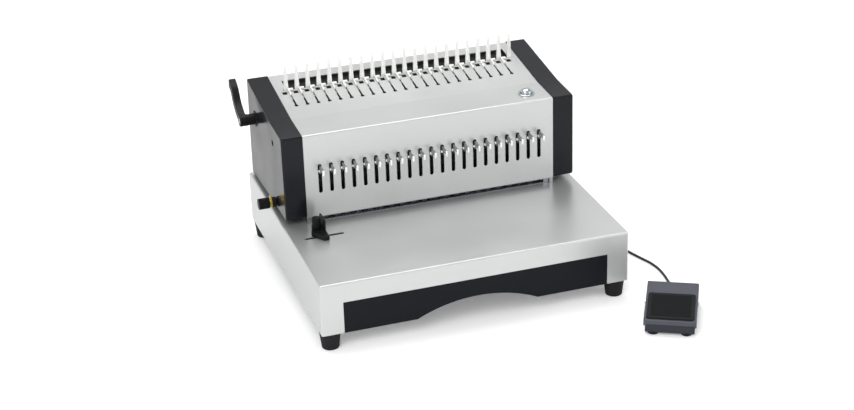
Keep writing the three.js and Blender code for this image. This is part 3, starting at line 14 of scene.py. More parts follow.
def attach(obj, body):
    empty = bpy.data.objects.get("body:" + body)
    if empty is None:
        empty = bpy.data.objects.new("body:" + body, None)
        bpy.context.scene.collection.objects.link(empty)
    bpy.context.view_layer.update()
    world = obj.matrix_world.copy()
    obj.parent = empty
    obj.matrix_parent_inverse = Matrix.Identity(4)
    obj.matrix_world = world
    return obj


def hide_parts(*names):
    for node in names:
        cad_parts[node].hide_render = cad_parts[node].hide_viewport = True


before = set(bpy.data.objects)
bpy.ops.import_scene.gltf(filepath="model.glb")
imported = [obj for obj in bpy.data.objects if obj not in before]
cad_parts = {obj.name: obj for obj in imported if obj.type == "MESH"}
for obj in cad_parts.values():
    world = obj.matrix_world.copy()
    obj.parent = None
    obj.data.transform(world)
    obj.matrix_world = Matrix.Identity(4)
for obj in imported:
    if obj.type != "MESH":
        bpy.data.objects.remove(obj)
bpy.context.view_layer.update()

LOG = logging.getLogger("comb_binder")

Point = tuple[float, float]
Place = tuple[float, float, float]
Sizes = tuple[float, ...]
Mesh = bmesh.types.BMesh
Tree = bpy.types.NodeTree
Node = bpy.types.Node
Socket = bpy.types.NodeSocket

# The machine's own frame in millimetres, as the CAD source has it, and the way from it to the row frame in metres
MM = 0.001
ORIGIN = Vector((26.617, 114.784, 0.0))
TO_ROW = Matrix.Scale(MM, 4) @ Matrix.Translation(-ORIGIN)

# Measures that several pieces share: places across the machine, and pairs of Y and Z in its side view
RING_COUNT = 21
RING_PITCH = 14.2875
FIRST_RING_X = -142.875
FINGER_COUNT = 22
FIRST_FINGER_X = -148.3
HOOK_SHIFT = 1.7

PEDAL_PLACE = (170.3, -94.9)
PEDAL_TURN = math.radians(-28.15)
PEDAL_MIDDLE = 31.0
GLAND_PLACE = (165.0, 45.0)

QUARTER = math.pi / 2
NEARLY_ZERO = 1e-6
NOISE_RANGE = (0.3, 0.7)

BASE_DEPTH = 343.6
STRIP_FRONT = (165.8, 203.8)
DECK_CREASE = (217.4, 206.1)
DECK_REAR = (333.9, 221.1)
STRIP_SLOPE = math.atan2(DECK_CREASE[1] - STRIP_FRONT[1], DECK_CREASE[0] - STRIP_FRONT[0])
DECK_SLOPE = math.atan2(DECK_REAR[1] - DECK_CREASE[1], DECK_REAR[0] - DECK_CREASE[0])
BUTTON_PLACE = (135.7, 189.8)
RING_PLACES = [FIRST_RING_X + i * RING_PITCH for i in range(RING_COUNT)]
FINGER_PLACES = [FIRST_FINGER_X + i * RING_PITCH for i in range(FINGER_COUNT)]
HOOK_PLACES = [x + HOOK_SHIFT for x in FINGER_PLACES[:RING_COUNT]]


class Stand(Enum):
    """How a flat outline stands in the machine's frame."""

    FLAT = "outline in X and Y, depth up"
    SIDE = "outline in Y and Z, depth along X"
    FRONT = "outline in X and Z, depth towards the front"

    def placed(self, offset: float = 0.0) -> Matrix:
        """Return the matrix that stands an outline with its zero depth at an offset."""
        if self is Stand.SIDE:
            return Matrix(((0, 0, 1, offset), (1, 0, 0, 0), (0, 1, 0, 0), (0, 0, 0, 1)))
        if self is Stand.FRONT:
            return Matrix(((1, 0, 0, 0), (0, 0, -1, offset), (0, 1, 0, 0), (0, 0, 0, 1)))
        return Matrix.Translation((0, 0, offset))


def deck_height(y: float) -> float:
    """Return the height of the deck's top face at a depth."""
    return DECK_CREASE[1] + (y - DECK_CREASE[0]) * math.tan(DECK_SLOPE)


def along_deck(y: float) -> float:
    """Return the distance along the deck from its front crease to a depth."""
    return (y - DECK_CREASE[0]) / math.cos(DECK_SLOPE)


def onto_deck() -> Matrix:
    """Return the matrix from deck coordinates (across, along, off) to the machine's frame."""
    return Matrix.Translation((0, *DECK_CREASE)) @ Matrix.Rotation(DECK_SLOPE, 4, "X")


# Finishes


def linear(channel: float) -> float:
    """Return the linear value of an sRGB channel."""
    return channel / 12.92 if channel <= 0.04045 else ((channel + 0.055) / 1.055) ** 2.4


def fill(tree: Tree, node: Node, inputs: dict[str | int, object]) -> None:
    """Fill a node's inputs, each with a value or from another node's output."""
    for name, value in inputs.items():
        if isinstance(value, Socket):
            tree.links.new(value, node.inputs[name])
        else:
            node.inputs[name].default_value = value


def added(tree: Tree, kind: str, output: str, inputs: dict[str | int, object], **settings: str) -> Socket:
    """Add a shader node and fill its inputs.

    Args:
        tree: The nodes that it joins.
        kind: Its type.
        output: The output that is wanted of it.
        inputs: What goes into its inputs.
        settings: Its own properties.

    Returns:
        The wanted output.
    """
    node = tree.nodes.new(kind)
    for name, value in settings.items():
        setattr(node, name, value)
    fill(tree, node, inputs)
    return node.outputs[output]


def map_range(tree: Tree, value: Socket, source: Point, target: Point) -> Socket:
    """Add a node that maps a value from one range to another."""
    (low, high), (new_low, new_high) = source, target
    return added(tree, "ShaderNodeMapRange", "Result", {
        "Value": value, "From Min": low, "From Max": high, "To Min": new_low, "To Max": new_high,
    })


@dataclass(frozen=True)
class Finish:
    """A procedural surface finish.

    Colour is in sRGB shares. The drift is how far the colour wanders over the surface, the grain is the fine relief,
    and the stretch draws the grain out along an axis, as brushing does.
    """

    name: str
    colour: tuple[float, float, float]
    roughness: float
    metallic: float = 0.0
    drift: float = 0.04
    drift_scale: float = 14.0
    grain_scale: float = 900.0
    grain_depth: float = 0.05
    grain_height: float = 0.0004
    stretch: tuple[float, float, float] = (1.0, 1.0, 1.0)
    roughness_spread: float = 0.08
    specular: float = 0.5

    def material(self) -> bpy.types.Material:
        """Return the finish's material, made on first use."""
        label = f"{self.name}_finish"
        found = bpy.data.materials.get(label)
        if found is not None:
            return found
        material = bpy.data.materials.new(label)
        material.use_nodes = True
        tree = material.node_tree
        place = added(tree, "ShaderNodeTexCoord", "Object", {})
        grain = self._noise(tree, place, self.grain_scale, 3.0, self.stretch)
        drift = self._noise(tree, place, self.drift_scale, 4.0, (1.0, 1.0, 1.0))
        relief = added(tree, "ShaderNodeBump", "Normal", {
            "Strength": self.grain_depth, "Distance": self.grain_height, "Height": grain,
        })
        fill(tree, tree.nodes["Principled BSDF"], {
            "Metallic": self.metallic, "Specular IOR Level": self.specular,
            "Base Color": self._colour(tree, drift, grain), "Roughness": self._gloss(tree, drift, grain),
            "Normal": relief,
        })
        return material

    @staticmethod
    def _noise(tree: Tree, place: Socket, scale: float, detail: float, stretch: Sequence[float]) -> Socket:
        """Add a noise on the object's own coordinates.

        Args:
            tree: The material's nodes.
            place: The texture coordinates.
            scale: Cells in a metre.
            detail: Octaves of the noise.
            stretch: Scale along each axis.

        Returns:
            The noise.
        """
        stretched = added(tree, "ShaderNodeMapping", "Vector", {"Scale": stretch, "Vector": place})
        return added(tree, "ShaderNodeTexNoise", "Fac", {"Scale": scale, "Detail": detail, "Vector": stretched})

    def _tones(self, tree: Tree, noise: Socket, spread: float) -> Socket:
        """Return the colour as a noise leads it from a darker to a lighter tone."""
        ramp = tree.nodes.new("ShaderNodeValToRGB")
        for element, position, share in zip(ramp.color_ramp.elements, NOISE_RANGE, (1 - spread, 1 + spread)):
            element.position = position
            element.color = (*(min(linear(c) * share, 1.0) for c in self.colour), 1.0)
        tree.links.new(noise, ramp.inputs["Fac"])
        return ramp.outputs["Color"]

    def _colour(self, tree: Tree, drift: Socket, grain: Socket) -> Socket:
        """Let the base colour wander between a darker and a lighter tone."""
        return self._tones(tree, drift, self.drift)

    def _gloss(self, tree: Tree, drift: Socket, grain: Socket) -> Socket:
        """Let the roughness follow the broad drift of the surface."""
        smooth = max(self.roughness - self.roughness_spread, 0.02)
        rough = min(self.roughness + self.roughness_spread, 1.0)
        return map_range(tree, drift, NOISE_RANGE, (smooth, rough))


@dataclass(frozen=True)
class FlakePaint(Finish):
    """Satin metal-effect paint: fine bright flakes in the colour."""

    flake: float = 0.05

    def _colour(self, tree: Tree, drift: Socket, grain: Socket) -> Socket:
        """Mix the drifting tone with fine flakes, half of each."""
        mix = tree.nodes.new("ShaderNodeMix")
        mix.data_type = "RGBA"
        # A colour mix has its two colours at inputs 6 and 7, and its result at output 2
        drifting, flakes = self._tones(tree, drift, self.drift), self._tones(tree, grain, self.flake)
        fill(tree, mix, {"Factor": 0.5, 6: drifting, 7: flakes})
        return mix.outputs[2]


@dataclass(frozen=True)
class BrushedMetal(Finish):
    """Metal whose brushing also moves its roughness."""

    def _gloss(self, tree: Tree, drift: Socket, grain: Socket) -> Socket:
        """Let the roughness follow the brushing."""
        return super()._gloss(tree, grain, grain)


SHEET = FlakePaint("silver_sheet", (0.808, 0.815, 0.811), 0.34, metallic=0.72, drift=0.03, drift_scale=9.0,
                   grain_scale=1600.0, grain_depth=0.05, roughness_spread=0.05)
CAP = Finish("cap_plastic", (0.085, 0.090, 0.108), 0.22, drift=0.12, grain_scale=1800.0, grain_depth=0.06,
             roughness_spread=0.06, specular=0.22)
DRAWER = Finish("drawer_plastic", (0.04, 0.055, 0.075), 0.42, drift=0.08, grain_scale=1500.0, grain_depth=0.10,
                specular=0.16)
RUBBER = Finish("foot_rubber", (0.10, 0.10, 0.108), 0.72, drift=0.15, grain_scale=1400.0, grain_depth=0.25,
                specular=0.25)
BLACK = Finish("knob_plastic", (0.062, 0.063, 0.07), 0.36, drift=0.10, grain_scale=1600.0, grain_depth=0.08,
               specular=0.2)
BRIGHT = BrushedMetal("bright_steel", (0.98, 0.98, 0.97), 0.26, metallic=0.35, drift=0.02, grain_scale=500.0,
                      grain_depth=0.04, stretch=(1.0, 1.0, 0.08), roughness_spread=0.05)
PULL = BrushedMetal("pull_steel", (0.60, 0.61, 0.61), 0.34, metallic=1.0, drift=0.06, grain_scale=700.0,
                    grain_depth=0.05, stretch=(1.0, 0.1, 1.0), roughness_spread=0.06)
STEEL = BrushedMetal("frame_steel", (0.72, 0.73, 0.74), 0.34, metallic=1.0, drift=0.06, grain_scale=500.0,
                     grain_depth=0.08, stretch=(0.08, 1.0, 1.0), roughness_spread=0.08)
TOOL = BrushedMetal("tool_steel", (0.66, 0.67, 0.69), 0.28, metallic=1.0, drift=0.06, grain_scale=600.0,
                    grain_depth=0.10, stretch=(1.0, 1.0, 0.1), roughness_spread=0.08)
BLACKED = BrushedMetal("blacked_steel", (0.11, 0.11, 0.12), 0.46, metallic=0.6, drift=0.12, grain_scale=600.0,
                       grain_depth=0.10, roughness_spread=0.08, specular=0.2)
PAN = BrushedMetal("zinc_sheet", (0.62, 0.63, 0.65), 0.40, metallic=1.0, drift=0.10, drift_scale=80.0,
                   grain_scale=300.0, grain_depth=0.04)
CHROME = Finish("polished_chrome", (0.76, 0.78, 0.79), 0.07, metallic=1.0, drift=0.02, grain_depth=0.01,
                roughness_spread=0.03)
BRASS = BrushedMetal("turned_brass", (0.70, 0.63, 0.36), 0.26, metallic=1.0, drift=0.06, grain_scale=700.0,
                     grain_depth=0.10, stretch=(0.1, 1.0, 1.0))
MOTOR = Finish("motor_paint", (0.20, 0.20, 0.21), 0.48, metallic=0.2, drift=0.08, grain_depth=0.12)
LAMINATE = Finish("circuit_laminate", (0.12, 0.34, 0.20), 0.46, drift=0.25, drift_scale=240.0, grain_depth=0.10)
CHANNEL = Finish("black_sheet", (0.14, 0.14, 0.15), 0.55, drift=0.12, grain_scale=1200.0, grain_depth=0.12,
                 specular=0.2)
PEDAL = FlakePaint("pedal_paint", (0.30, 0.305, 0.34), 0.42, metallic=0.15, drift=0.05, grain_scale=1500.0,
                   grain_depth=0.12, flake=0.12, specular=0.3)
# A darker copy of the pedal paint: painted shade for the tray that lies under the plate
PEDAL_SHADED_TRAY = FlakePaint("shaded_tray_paint", (0.20, 0.21, 0.24), 0.46, metallic=0.1, drift=0.06, grain_scale=1500.0,
                        grain_depth=0.12, flake=0.12, specular=0.25)
TREAD = Finish("tread_rubber", (0.07, 0.075, 0.09), 0.66, drift=0.16, grain_scale=1100.0, grain_depth=0.6,
               specular=0.22)
CORD = Finish("cord_jacket", (0.07, 0.07, 0.075), 0.48, drift=0.10, grain_scale=1300.0, grain_depth=0.10)
DIAL_MARK = Finish("worn_silver", (0.62, 0.62, 0.60), 0.45, drift=0.15, grain_depth=0.1)


# Mesh tools: every mesh is made in millimetres in the machine's frame, and becomes a piece by finished()


def arc(a: float, b: float, radius: float, start: float, end: float, steps: int) -> list[Point]:
    """Return points on an arc, angles in radians."""
    turns = (start + (end - start) * i / steps for i in range(steps + 1))
    return [(a + radius * math.cos(t), b + radius * math.sin(t)) for t in turns]


def ring(a: float, b: float, radius: float, sides: int = 24) -> list[Point]:
    """Return a closed circle."""
    return arc(a, b, radius, 0, 2 * math.pi, sides)[:-1]


def rectangle(a0: float, a1: float, b0: float, b1: float) -> list[Point]:
    """Return a closed rectangle."""
    return [(a0, b0), (a1, b0), (a1, b1), (a0, b1)]


def long_slot(a: float, b0: float, b1: float, width: float, steps: int = 8) -> list[Point]:
    """Return a closed slot with round ends, along the second axis."""
    radius = width / 2
    return arc(a, b0 + radius, radius, math.pi, 2 * math.pi, steps) + arc(a, b1 - radius, radius, 0, math.pi, steps)


def rounded(corners: Sequence[Point], radii: float | Sequence[float], steps: int = 4) -> list[Point]:
    """Round the corners of a closed outline.

    Args:
        corners: The outline's corners.
        radii: One radius, or one for each corner.
        steps: Points on each corner's arc.

    Returns:
        The rounded outline.
    """
    points: list[Point] = []
    count = len(corners)
    for i, corner in enumerate(corners):
        radius = radii if isinstance(radii, (int, float)) else radii[i]
        if radius <= 0:
            points.append(corner)
            continue
        here = Vector(corner)
        before = (Vector(corners[i - 1]) - here).normalized()
        after = (Vector(corners[(i + 1) % count]) - here).normalized()
        half = math.acos(max(-1.0, min(1.0, before.dot(after)))) / 2
        centre = here + (before + after).normalized() * (radius / math.sin(half))
        start = here + before * (radius / math.tan(half)) - centre
        end = here + after * (radius / math.tan(half)) - centre
        first = math.atan2(start.y, start.x)
        sweep = (math.atan2(end.y, end.x) - first + math.pi) % (2 * math.pi) - math.pi
        points += arc(centre.x, centre.y, radius, first, first + sweep, steps)
    return points


def poly_curve(name: str, dimensions: str, loops: Iterable[Sequence[Sequence[float]]]) -> bpy.types.Curve:
    """Make a curve of straight runs, closed where it is flat.

    Args:
        name: The curve's name.
        dimensions: "2D" for closed flat outlines, "3D" for open paths.
        loops: The points of each outline or path.

    Returns:
        The curve.
    """
    curve = bpy.data.curves.new(name, "CURVE")
    curve.dimensions = dimensions
    for loop in loops:
        spline = curve.splines.new("POLY")
        spline.points.add(len(loop) - 1)
        for handle, point in zip(spline.points, loop):
            handle.co = (*point, 1.0) if len(point) == 3 else (*point, 0.0, 1.0)
        spline.use_cyclic_u = dimensions == "2D"
    return curve


def wire_curve(name: str, path: Sequence[Sequence[float]], radius: float, resolution: int) -> bpy.types.Curve:
    """Make a round wire along a path, as a curve with closed ends."""
    curve = poly_curve(name, "3D", [path])
    curve.bevel_depth = radius
    curve.bevel_resolution = resolution
    curve.use_fill_caps = True
    return curve


def meshed(curve: bpy.types.Curve) -> Mesh:
    """Turn a curve into a mesh, and free it."""
    holder = bpy.data.objects.new("holder", curve)
    made = bpy.data.meshes.new_from_object(holder)
    mesh = bmesh.new()
    mesh.from_mesh(made)
    bpy.data.objects.remove(holder)
    bpy.data.curves.remove(curve)
    bpy.data.meshes.remove(made)
    return mesh


def plate(
    outline: Sequence[Point], depth: float, holes: Iterable[Sequence[Point]] = (), rim: float = 0.25, steps: int = 2
) -> Mesh:
    """Make a flat plate whose outer and inner rims are rounded.

    Args:
        outline: The plate's closed outline.
        depth: Its thickness, from zero up.
        holes: Closed outlines cut through it.
        rim: Radius of the rounded rims.
        steps: Facets across each rim.

    Returns:
        The plate's mesh.
    """
    curve = poly_curve("outline", "2D", (outline, *holes))
    curve.fill_mode = "BOTH"
    curve.extrude = depth / 2 - rim
    curve.bevel_depth = rim
    curve.bevel_resolution = steps - 1
    curve.offset = -rim
    mesh = meshed(curve)
    bmesh.ops.remove_doubles(mesh, verts=mesh.verts, dist=0.001)
    bmesh.ops.dissolve_degenerate(mesh, edges=mesh.edges, dist=0.0005)
    bmesh.ops.translate(mesh, vec=(0, 0, depth / 2), verts=mesh.verts)
    return mesh


def turned(profile: Sequence[Point], sides: int = 48, matrix: Matrix | None = None) -> Mesh:
    """Turn a profile of radius and height about Z.

    Args:
        profile: Radius and height pairs, from one end to the other.
        sides: Facets round the axis.
        matrix: Where the turned solid goes, if not at the origin.

    Returns:
        The turned mesh.
    """
    mesh = bmesh.new()
    angles = [2 * math.pi * i / sides for i in range(sides)]
    loops = []
    for radius, height in profile:
        if radius < NEARLY_ZERO:
            loops.append([mesh.verts.new((0, 0, height))])
        else:
            loops.append([mesh.verts.new((radius * math.cos(t), radius * math.sin(t), height)) for t in angles])
    for lower, upper in zip(loops, loops[1:]):
        for i in range(sides):
            below = [lower[j % len(lower)] for j in (i, i + 1)]
            above = [upper[j % len(upper)] for j in (i + 1, i)]
            corners = list(dict.fromkeys(below + above))
            if len(corners) > 2:
                mesh.faces.new(corners)
    if matrix is not None:
        mesh.transform(matrix)
    return mesh


def rod(radius: float, low: float, high: float, sides: int = 24, matrix: Matrix | None = None) -> Mesh:
    """Turn a plain rod from one height to another."""
    return turned([(0, low), (radius, low), (radius, high), (0, high)], sides, matrix)


def laid(place: Sequence[float], axis: str, angle: float = QUARTER) -> Matrix:
    """Return the matrix that turns a part about an axis, a quarter turn if not told otherwise, and puts it in place."""
    return Matrix.Translation(place) @ Matrix.Rotation(angle, 4, axis)


def rounded_box(low: Sequence[float], high: Sequence[float], radius: float, steps: int = 3) -> Mesh:
    """Make a box with all its edges rounded."""
    mesh = bmesh.new()
    size = Vector(high) - Vector(low)
    middle = (Vector(high) + Vector(low)) / 2
    bmesh.ops.create_cube(mesh, size=1.0, matrix=Matrix.Translation(middle) @ Matrix.Diagonal((*size, 1)))
    bmesh.ops.bevel(mesh, geom=mesh.edges[:], offset=radius, segments=steps, profile=0.5, affect="EDGES")
    return mesh


def swept(path: Sequence[Sequence[float]], radius: float, resolution: int = 2) -> Mesh:
    """Make a round wire along a path of points, as a mesh."""
    return meshed(wire_curve("wire", path, radius, resolution))


def split(mesh: Mesh, point: Place, normal: Place, clear_inner: bool = False, clear_outer: bool = False) -> None:
    """Cut a mesh along a plane.

    Args:
        mesh: The mesh, which is changed.
        point: A point of the plane.
        normal: The plane's normal.
        clear_inner: Whether what lies behind the plane goes.
        clear_outer: Whether what lies before it goes.
    """
    bmesh.ops.bisect_plane(
        mesh, geom=mesh.verts[:] + mesh.edges[:] + mesh.faces[:], plane_co=point, plane_no=normal,
        clear_inner=clear_inner, clear_outer=clear_outer,
    )


def merged(parts: Iterable[Mesh]) -> Mesh:
    """Join several meshes into one, and free them."""
    whole = bmesh.new()
    for part in parts:
        carrier = bpy.data.meshes.new("part")
        part.to_mesh(carrier)
        part.free()
        whole.from_mesh(carrier)
        bpy.data.meshes.remove(carrier)
    return whole


def repeated(part: Mesh, places: Iterable[Matrix]) -> Mesh:
    """Join copies of a mesh at several places, and free it."""
    copies = []
    for place in places:
        copy = part.copy()
        copy.transform(place)
        copies.append(copy)
    part.free()
    return merged(copies)


def moved(part: Mesh, matrix: Matrix) -> Mesh:
    """Move a mesh and return it."""
    part.transform(matrix)
    return part


def stood(
    outline: Sequence[Point], depth: float, stand: Stand, offset: float, holes: Iterable[Sequence[Point]] = (),
    rim: float = 0.25, steps: int = 2,
) -> Mesh:
    """Make a plate and stand it in the machine's frame.

    Args:
        outline: The plate's closed outline.
        depth: Its thickness.
        stand: How its outline stands.
        offset: Where its zero depth lies.
        holes: Closed outlines cut through it.
        rim: Radius of the rounded rims.
        steps: Facets across each rim.

    Returns:
        The plate's mesh.
    """
    return moved(plate(outline, depth, holes, rim, steps), stand.placed(offset))


def across(positions: Iterable[float]) -> list[Matrix]:
    """Return a matrix for each place across the machine."""
    return [Matrix.Translation((x, 0, 0)) for x in positions]


def reshaped(mesh: Mesh, cutters: Sequence[Mesh] = (), shell: float = 0.0, soften: float = 0.0) -> Mesh:
    """Run a mesh through Blender's modifiers.

    Args:
        mesh: The mesh, which is freed.
        cutters: Meshes to cut out of it, which are freed.
        shell: Wall thickness to give an open mesh, inwards.
        soften: Width of the bevel on its sharp edges.

    Returns:
        The reshaped mesh.
    """
    helpers = []
    for part in (mesh, *cutters):
        bmesh.ops.recalc_face_normals(part, faces=part.faces)
        carrier = bpy.data.meshes.new("helper")
        part.to_mesh(carrier)
        part.free()
        helper = bpy.data.objects.new("helper", carrier)
        bpy.context.scene.collection.objects.link(helper)
        helpers.append(helper)
    body = helpers[0]
    if shell:
        wall = body.modifiers.new("shell", "SOLIDIFY")
        wall.thickness = shell
        wall.offset = -1.0
        wall.use_even_offset = True
    for cutter in helpers[1:]:
        cut = body.modifiers.new("cut", "BOOLEAN")
        cut.operation = "DIFFERENCE"
        cut.solver = "EXACT"
        cut.object = cutter
    if soften:
        edge = body.modifiers.new("soften", "BEVEL")
        edge.width = soften
        edge.segments = 2
        edge.limit_method = "ANGLE"
        edge.angle_limit = math.radians(40)
        edge.use_clamp_overlap = True
    graph = bpy.context.evaluated_depsgraph_get()
    made = bpy.data.meshes.new_from_object(body.evaluated_get(graph))
    result = bmesh.new()
    result.from_mesh(made)
    bpy.data.meshes.remove(made)
    for helper in helpers:
        carrier = helper.data
        bpy.data.objects.remove(helper)
        bpy.data.meshes.remove(carrier)
    return result


def finished(
    name: str, mesh: Mesh, finish: Finish, body: str, stands_for: Sequence[str] = (), slot: str = "",
    sharp: float = 32.0, matrix: Matrix = TO_ROW,
) -> bpy.types.Object:
    """Turn a mesh into a shaded piece that rides on a body.

    Args:
        name: The piece's name.
        mesh: Its mesh in the machine's frame, which is freed.
        finish: Its surface.
        body: The CAD body that it rides on.
        stands_for: CAD nodes that it is shown in place of.
        slot: The record's material slot; not used.
        sharp: Angle in degrees over which an edge stays sharp.
        matrix: The way to the row frame.

    Returns:
        The piece.
    """
    bmesh.ops.recalc_face_normals(mesh, faces=mesh.faces)
    mesh.transform(matrix)
    data = bpy.data.meshes.new(name)
    mesh.to_mesh(data)
    mesh.free()
    data.shade_smooth()
    data.set_sharp_from_angle(angle=math.radians(sharp))
    data.materials.append(finish.material())
    made = bpy.data.objects.new(name, data)
    bpy.context.scene.collection.objects.link(made)
    even = made.modifiers.new("even", "WEIGHTED_NORMAL")
    even.keep_sharp = True
    graph = bpy.context.evaluated_depsgraph_get()
    shaded = bpy.data.meshes.new_from_object(made.evaluated_get(graph))
    made.modifiers.clear()
    made.data = shaded
    bpy.data.meshes.remove(data)
    shaded.name = name
    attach(made, body)
    if stands_for:
        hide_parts(*stands_for)
    LOG.info("%s: %d faces on %s", name, len(shaded.polygons), body)
    return made


def dressed(node: str, finish: Finish) -> None:
    """Give a CAD node that stays in view its finish."""
    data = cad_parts[node].data
    data.materials.clear()
    data.materials.append(finish.material())
    LOG.info("%s keeps its CAD shape", node)


def screw_head(radius: float, height: float) -> Mesh:
    """Make a low screw head with a cross recess, its seat at zero."""
    arm, narrow = radius * 0.55, radius * 0.1
    profile = [
        (0.0, 0.0), (radius, 0.0), (radius, height * 0.35), (radius * 0.86, height * 0.75), (arm, height),
        (0.0, height),
    ]
    recess = [
        rounded_box((-x, -y, height * 0.45), (x, y, height * 2), radius * 0.04, 1)
        for x, y in ((arm, narrow), (narrow, arm))
    ]
    return reshaped(turned(profile, 24), recess)


@dataclass
class BentProfile:
    """The side view of a folded sheet: its outer face as a path with rounded bends, in Y and Z."""

    corners: Sequence[Point]
    bend: float
    bend_steps: int = 6
    starts: list[float] = field(init=False)
    cuts: list[float] = field(init=False)
    length: float = field(init=False)

    def __post_init__(self) -> None:
        """Measure where each straight run starts in the unfolded sheet."""
        points = [Vector(c) for c in self.corners]
        inner = range(1, len(points) - 1)
        self.cuts = [0.0, *(self.bend * math.tan(self._turn(i) / 2) for i in inner), 0.0]
        self.length = 0.0
        self.starts = []
        for i in range(len(points) - 1):
            self.starts.append(self.length)
            self.length += (points[i + 1] - points[i]).length - self.cuts[i] - self.cuts[i + 1]
            if i + 1 in inner:
                self.length += self.bend * self._turn(i + 1)

    def _direction(self, run: int) -> Vector:
        """Return the direction of a straight run."""
        return (Vector(self.corners[run + 1]) - Vector(self.corners[run])).normalized()

    def _turn(self, corner: int) -> float:
        """Return how far the sheet turns at a corner, in radians."""
        return self._direction(corner - 1).angle(self._direction(corner))

    def unfolded(self, run: int, distance: float) -> float:
        """Return the place in the unfolded sheet of a distance from a run's first corner."""
        return self.starts[run] + distance - self.cuts[run]

    def place(self, s: float, off: float = 0.0) -> Point:
        """Return the Y and Z of a point of the unfolded sheet.

        Args:
            s: Its distance along the unfolded sheet.
            off: Its height over the outer face.

        Returns:
            The point's Y and Z in the folded sheet.
        """
        run = 0
        while run + 1 < len(self.starts) and s >= self.starts[run + 1]:
            run += 1
        first, second = Vector(self.corners[run]), Vector(self.corners[run + 1])
        direction = self._direction(run)
        outward = Vector((-direction.y, direction.x))
        straight = (second - first).length - self.cuts[run] - self.cuts[run + 1]
        past = s - self.starts[run] - straight
        if past <= NEARLY_ZERO or run + 1 == len(self.starts):
            spot = first + direction * (self.cuts[run] + s - self.starts[run]) + outward * off
        else:
            centre = second - direction * self.cuts[run + 1] - outward * self.bend
            after = Matrix.Rotation(-past / self.bend, 2) @ outward
            spot = centre + after * (self.bend + off)
        return spot.x, spot.y

    def creased(self, sheet: Mesh) -> Mesh:
        """Cut a flat sheet along every line where a bend starts, ends or steps."""
        for corner in range(1, len(self.corners) - 1):
            arc_length = self.bend * self._turn(corner)
            for i in range(self.bend_steps + 1):
                split(sheet, (0, self.starts[corner] - arc_length * i / self.bend_steps, 0), (0, 1, 0))
        return sheet

    def folded(self, sheet: Mesh, thickness: float) -> Mesh:
        """Fold a flat sheet whose outer face is at its full thickness and whose second axis runs along the profile."""
        for vert in self.creased(sheet).verts:
            y, z = self.place(vert.co.y, vert.co.z - thickness)
            vert.co = (vert.co.x, y, z)
        return sheet

    def folded_inwards(self, sheet: Mesh) -> Mesh:
        """Fold a flat sheet whose material lies over the profile, square to it at each place."""
        reach = 0.01
        for vert in self.creased(sheet).verts:
            y, z = self.place(vert.co.y)
            ahead = Vector(self.place(min(vert.co.y + reach, self.length)))
            behind = Vector(self.place(max(vert.co.y - reach, 0.0)))
            run = (ahead - behind).normalized()
            vert.co = (vert.co.x, y + run.y * vert.co.z, z - run.x * vert.co.z)
        return sheet


# The camera, the light and the floor


@dataclass(frozen=True)
class Lamp:
    """A soft lamp: its place, its width and height, and its power in watts."""

    name: str
    place: Place
    size: Point
    power: float

    def hang(self, aim: Place) -> None:
        """Hang the lamp so that it points at a place."""
        data = bpy.data.lights.new(self.name, "AREA")
        data.shape = "RECTANGLE"
        data.size, data.size_y = self.size
        data.energy = self.power
        lamp = bpy.data.objects.new(self.name, data)
        lamp.location = self.place
        lamp.rotation_euler = (Vector(aim) - Vector(self.place)).to_track_quat("-Z", "Y").to_euler()
        bpy.context.scene.collection.objects.link(lamp)


